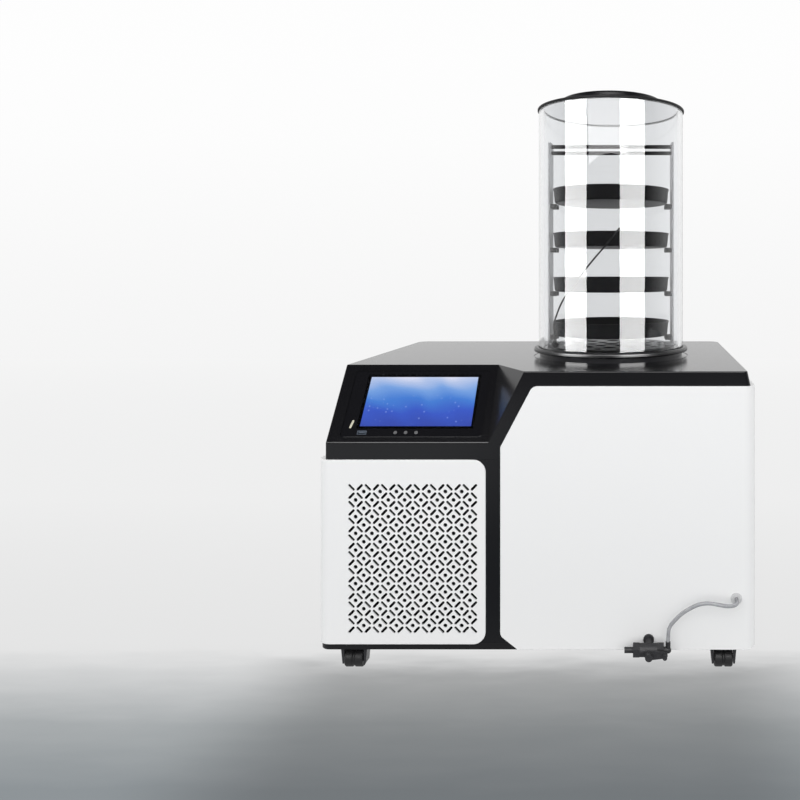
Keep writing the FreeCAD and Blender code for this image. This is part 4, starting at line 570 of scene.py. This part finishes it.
def finish_chamber():
    """The drying chamber, its lid, its rack and trays, and the cold trap under it."""
    put_on(black_anodised(), "base_flange", "probe_gland", "rack_base", "rack_studs")
    # the neck under the lip takes a mirror whose paler base colour is painted reflection of the deck
    neck_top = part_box("base_flange")[1].z - LIP
    touch_up("base_flange", polished_anodising_painted_reflection(), lambda face: face.center.z < neck_top)
    put_on(blackened_steel(), "rack_rods")
    put_on(tray_anodised(), "tray_1", "tray_2", "tray_3", "tray_4")
    put_on(cast_acrylic(), "chamber_cylinder")
    put_on(epdm_rubber(), "lid_seal", "flange_gasket", "compressor_feet")
    silicone = silicone_rubber()
    put_on(silicone, "hose_grommet")
    inside = radius_of("lid_seal") - SEAL_WIDTH
    touch_up("lid_seal", silicone, lambda face: (face.center - AXIS).xy.length < inside)
    put_on(polished_steel(), "lid_plate")
    put_on(turned_steel(), "trap_well")
    put_on(satin_steel(), "rack_side_left", "rack_side_right")
    put_on(brushed_steel(), "sample_probe", "vacuum_port")


def finish_works():
    """The refrigeration inside, and the valves and hose."""
    put_on(copper_tube(), "refrigerant_lines", "trap_coil")
    put_on(polyurethane_foam(), "trap_insulation")
    # the condenser's dark fins are painted shade behind the grille's slots
    put_on(fin_stock_painted_shade(), "condenser")
    put_on(compressor_enamel(), "compressor")
    put_on(nickel_plate(), "release_valve")
    put_on(glass_filled_nylon(), "drain_valve", "drain_lever")
    put_on(polyurethane_tube(), "drain_hose")


# ---------------------------------------------------------------- studio
FLOOR_FRONT, WALL_Y, WALL_TOP, HALF_WIDTH = -2.6, 3.6, 6.0, 6.0  # the floor and the backdrop behind it
FLOOR_TONES = [  # from front to back
    (-2.6, "#c8cacc"), (-1.2, "#c4c6c8"),  # pale again far in front
    (-0.75, "#8e9498"), (-0.47, "#8a9094"),  # slate
    (-0.35, "#a4a8aa"), (-0.15, "#e4e4e4"),  # a quick rise up to the machine
    (0.6, "#eeeeee"), (3.6, "#f5f5f5"),  # pale behind it
]
# a painted shadow of the machine: the floor's glow is dimmed in front of it
PAINTED_SHADOW_FULL_X, PAINTED_SHADOW_END_X = 0.24, 0.46  # the machine's painted shadow on the floor, to each side of the middle
PAINTED_SHADOW_FULL_Y, PAINTED_SHADOW_END_Y = -0.25, -0.15  # and where it ends under the machine
GLOW_IN_PAINTED_SHADOW, GLOW = 0.59, 0.975
ROOM_SEEN, ROOM_AS_LIGHT = 0.90, 0.80  # strength of the room as it is seen and as it lights things
MIRRORED_FRONT, MIRRORED_BACK, MIRRORED_OVERHEAD = 0.10, 0.95, 0.12  # and as it is mirrored
STRIP_REACH, STRIP_MIDDLE_Z, STRIP_HEIGHT, STRIP_WATTS = 1.2, 0.70, 1.3, 58  # the strips by the chamber


def sheet_of(name, profile, half_width):
    """A wide sheet whose side view is a list of (y, z) points."""
    mesh = bpy.data.meshes.new(name)
    made = bmesh.new()
    rows = [[made.verts.new((x, y, z)) for x in (-half_width, half_width)] for y, z in profile]
    for low, high in zip(rows, rows[1:]):
        made.faces.new((low[0], low[1], high[1], high[0]))
    made.to_mesh(mesh)
    made.free()
    sheet = bpy.data.objects.new(name, mesh)
    bpy.context.scene.collection.objects.link(sheet)
    return sheet


def floor_paint():
    """Backlit studio floor, its light painted in as glow: pale under and behind the machine, falling to
    slate grey in front of it, with a painted shadow where the machine stands between it and the backdrop."""
    paint = surface("floor_paint", "#2b2c2c", 0.7, Specular_IOR_Level=0.0)
    tree, shader = paint.node_tree, shader_of(paint)
    place = add(tree, "TexCoord").outputs["Object"]
    split = add(tree, "SeparateXYZ", inputs={"Vector": place}).outputs
    cloud, wander = speckle(paint, 120, stretch=(1, 4, 1), detail=4), 50 * MM
    drift = add(tree, "Math", {"operation": "MULTIPLY_ADD"}, {0: cloud, 1: wander, 2: -wander / 2})
    along = add(tree, "Math", {"operation": "ADD"}, {0: split["Y"], 1: drift.outputs[0]})
    share = add(tree, "MapRange",
                inputs={"Value": along.outputs[0], "From Min": FLOOR_FRONT, "From Max": WALL_Y})
    reach = WALL_Y - FLOOR_FRONT
    tones = [((y - FLOOR_FRONT) / reach, code) for y, code in FLOOR_TONES]
    glow = ramp(tree, share.outputs["Result"], tones)
    # painted shadow: the glow is dimmed in front of the machine, fading out to the sides and under it
    sideways = add(tree, "Math", {"operation": "ABSOLUTE"}, {0: split["X"]})
    beside = add(tree, "MapRange", {"interpolation_type": "SMOOTHSTEP"},
                 {"Value": sideways.outputs[0], "From Min": PAINTED_SHADOW_FULL_X, "From Max": PAINTED_SHADOW_END_X})
    behind = add(tree, "MapRange", {"interpolation_type": "SMOOTHSTEP"},
                 {"Value": along.outputs[0], "From Min": PAINTED_SHADOW_FULL_Y, "From Max": PAINTED_SHADOW_END_Y})
    clear = add(tree, "Math", {"operation": "MAXIMUM"}, {0: beside.outputs[0], 1: behind.outputs[0]})
    strength = add(tree, "MapRange",
                   inputs={"Value": clear.outputs[0], "To Min": GLOW_IN_PAINTED_SHADOW, "To Max": GLOW})
    tree.links.new(glow, shader.inputs["Emission Color"])
    tree.links.new(strength.outputs["Result"], shader.inputs["Emission Strength"])
    return paint


def backdrop_paper():
    """A backlit paper sheet, nearly white above and a little greyer where it meets the floor."""
    paper = surface("backdrop_paper", "#101010", 0.9, Specular_IOR_Level=0.0, Emission_Strength=1.0)
    tree = paper.node_tree
    place = add(tree, "TexCoord").outputs["Object"]
    height = add(tree, "SeparateXYZ", inputs={"Vector": place}).outputs["Z"]
    share = add(tree, "MapRange", inputs={"Value": height, "From Min": 0.0, "From Max": 2.4})
    tone = ramp(tree, share.outputs["Result"], [(0.0, "#f4f4f4"), (0.16, "#f6f6f6"), (0.38, "#f9f9f9"),
                                                (0.6, "#fcfcfc"), (0.82, "#fdfdfd")])
    tree.links.new(tone, shader_of(paper).inputs["Emission Color"])
    return paper


def room_light():
    """A white room. In a mirror it is dark in front of the machine and overhead, so that black pieces
    stay black, and bright behind the machine."""
    world = bpy.data.worlds.new("white_room")
    bpy.context.scene.world = world
    world.use_nodes = True
    tree = world.node_tree
    way = add(tree, "SeparateXYZ", inputs={"Vector": add(tree, "TexCoord").outputs["Generated"]}).outputs
    back = add(tree, "MapRange", inputs={"Value": way["Y"], "From Min": -0.5, "From Max": 0.3,
                                         "To Min": MIRRORED_FRONT, "To Max": MIRRORED_BACK})
    over = add(tree, "MapRange", inputs={"Value": way["Z"], "From Min": 0.35, "From Max": 0.8,
                                         "To Min": 1.0, "To Max": MIRRORED_OVERHEAD})
    mirrored = add(tree, "Math", {"operation": "MULTIPLY"},
                   {0: back.outputs["Result"], 1: over.outputs["Result"]})
    ray = add(tree, "LightPath").outputs
    seen = add(tree, "MapRange",
               inputs={"Value": ray["Is Diffuse Ray"], "To Min": ROOM_SEEN, "To Max": ROOM_AS_LIGHT})
    bounced = add(tree, "Math", {"operation": "MINIMUM"}, {0: ray["Glossy Depth"], 1: 1.0})
    strength = add(tree, "Mix", {"data_type": "FLOAT"},
                   {0: bounced.outputs[0], 2: seen.outputs["Result"], 3: mirrored.outputs[0]})
    background = tree.nodes["Background"]
    tree.links.new(strength.outputs[0], background.inputs["Strength"])
    background.inputs["Color"].default_value = (1, 1, 1, 1)


def panel_light(name, place, aim, width, height, watts, mirrored=True, lights_matt=True, only=()):
    """A rectangular soft light, never seen itself or through clear pieces. It may be left out of mirrors,
    or light nothing matt, or light some nodes only."""
    data = bpy.data.lights.new(name, "AREA")
    data.shape, data.size, data.size_y, data.energy = "RECTANGLE", width, height, watts
    light = bpy.data.objects.new(name, data)
    light.location = place
    light.rotation_euler = (Vector(aim) - Vector(place)).to_track_quat("-Z", "Y").to_euler()
    light.visible_camera = light.visible_transmission = False
    light.visible_diffuse, light.visible_glossy = lights_matt, mirrored
    bpy.context.scene.collection.objects.link(light)
    if only:
        lit = bpy.data.collections.new(name + "_lights")
        for node in only:
            lit.objects.link(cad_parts[node])
        light.light_linking.receiver_collection = lit


def studio():
    """Floor, backdrop and lights. Two tall strips draw the chamber's two white stripes."""
    floor = sheet_of("floor", [(FLOOR_FRONT, 0.0), (WALL_Y, 0.0)], HALF_WIDTH)
    floor.data.materials.append(floor_paint())
    wall = sheet_of("backdrop", [(WALL_Y, 0.0), (WALL_Y, WALL_TOP)], HALF_WIDTH)
    wall.data.materials.append(backdrop_paper())
    room_light()
    heart = Vector((AXIS.x, AXIS.y, STRIP_MIDDLE_Z))
    for side, angle, width in (("left", -51.8, 0.78), ("right", 34.2, 0.83)):
        turn = math.radians(angle)
        place = heart + STRIP_REACH * Vector((math.sin(turn), -math.cos(turn), 0))
        panel_light(f"strip_{side}", place, heart, width, STRIP_HEIGHT, STRIP_WATTS, lights_matt=False,
                    only=("chamber_cylinder", "base_flange"))
    panel_light("fill", (0, -2.6, 1.2), (0, 0, 0.35), width=3.0, height=2.0, watts=34, mirrored=False)
    panel_light("edge_light", (0, -1.9, 1.55), (0, 0, 0.4), width=2.4, height=1.1, watts=46,
                lights_matt=False)


# ---------------------------------------------------------------- everything
def build():
    """Camera, lead, finishes and studio, round the model as it was loaded."""
    bpy.context.scene.view_settings.view_transform = "Standard"
    camera()
    lead = sample_lead()
    lead.data.materials.append(pvc_jacket())
    finish_cabinet()
    finish_display()
    finish_chamber()
    finish_works()
    studio()


build()
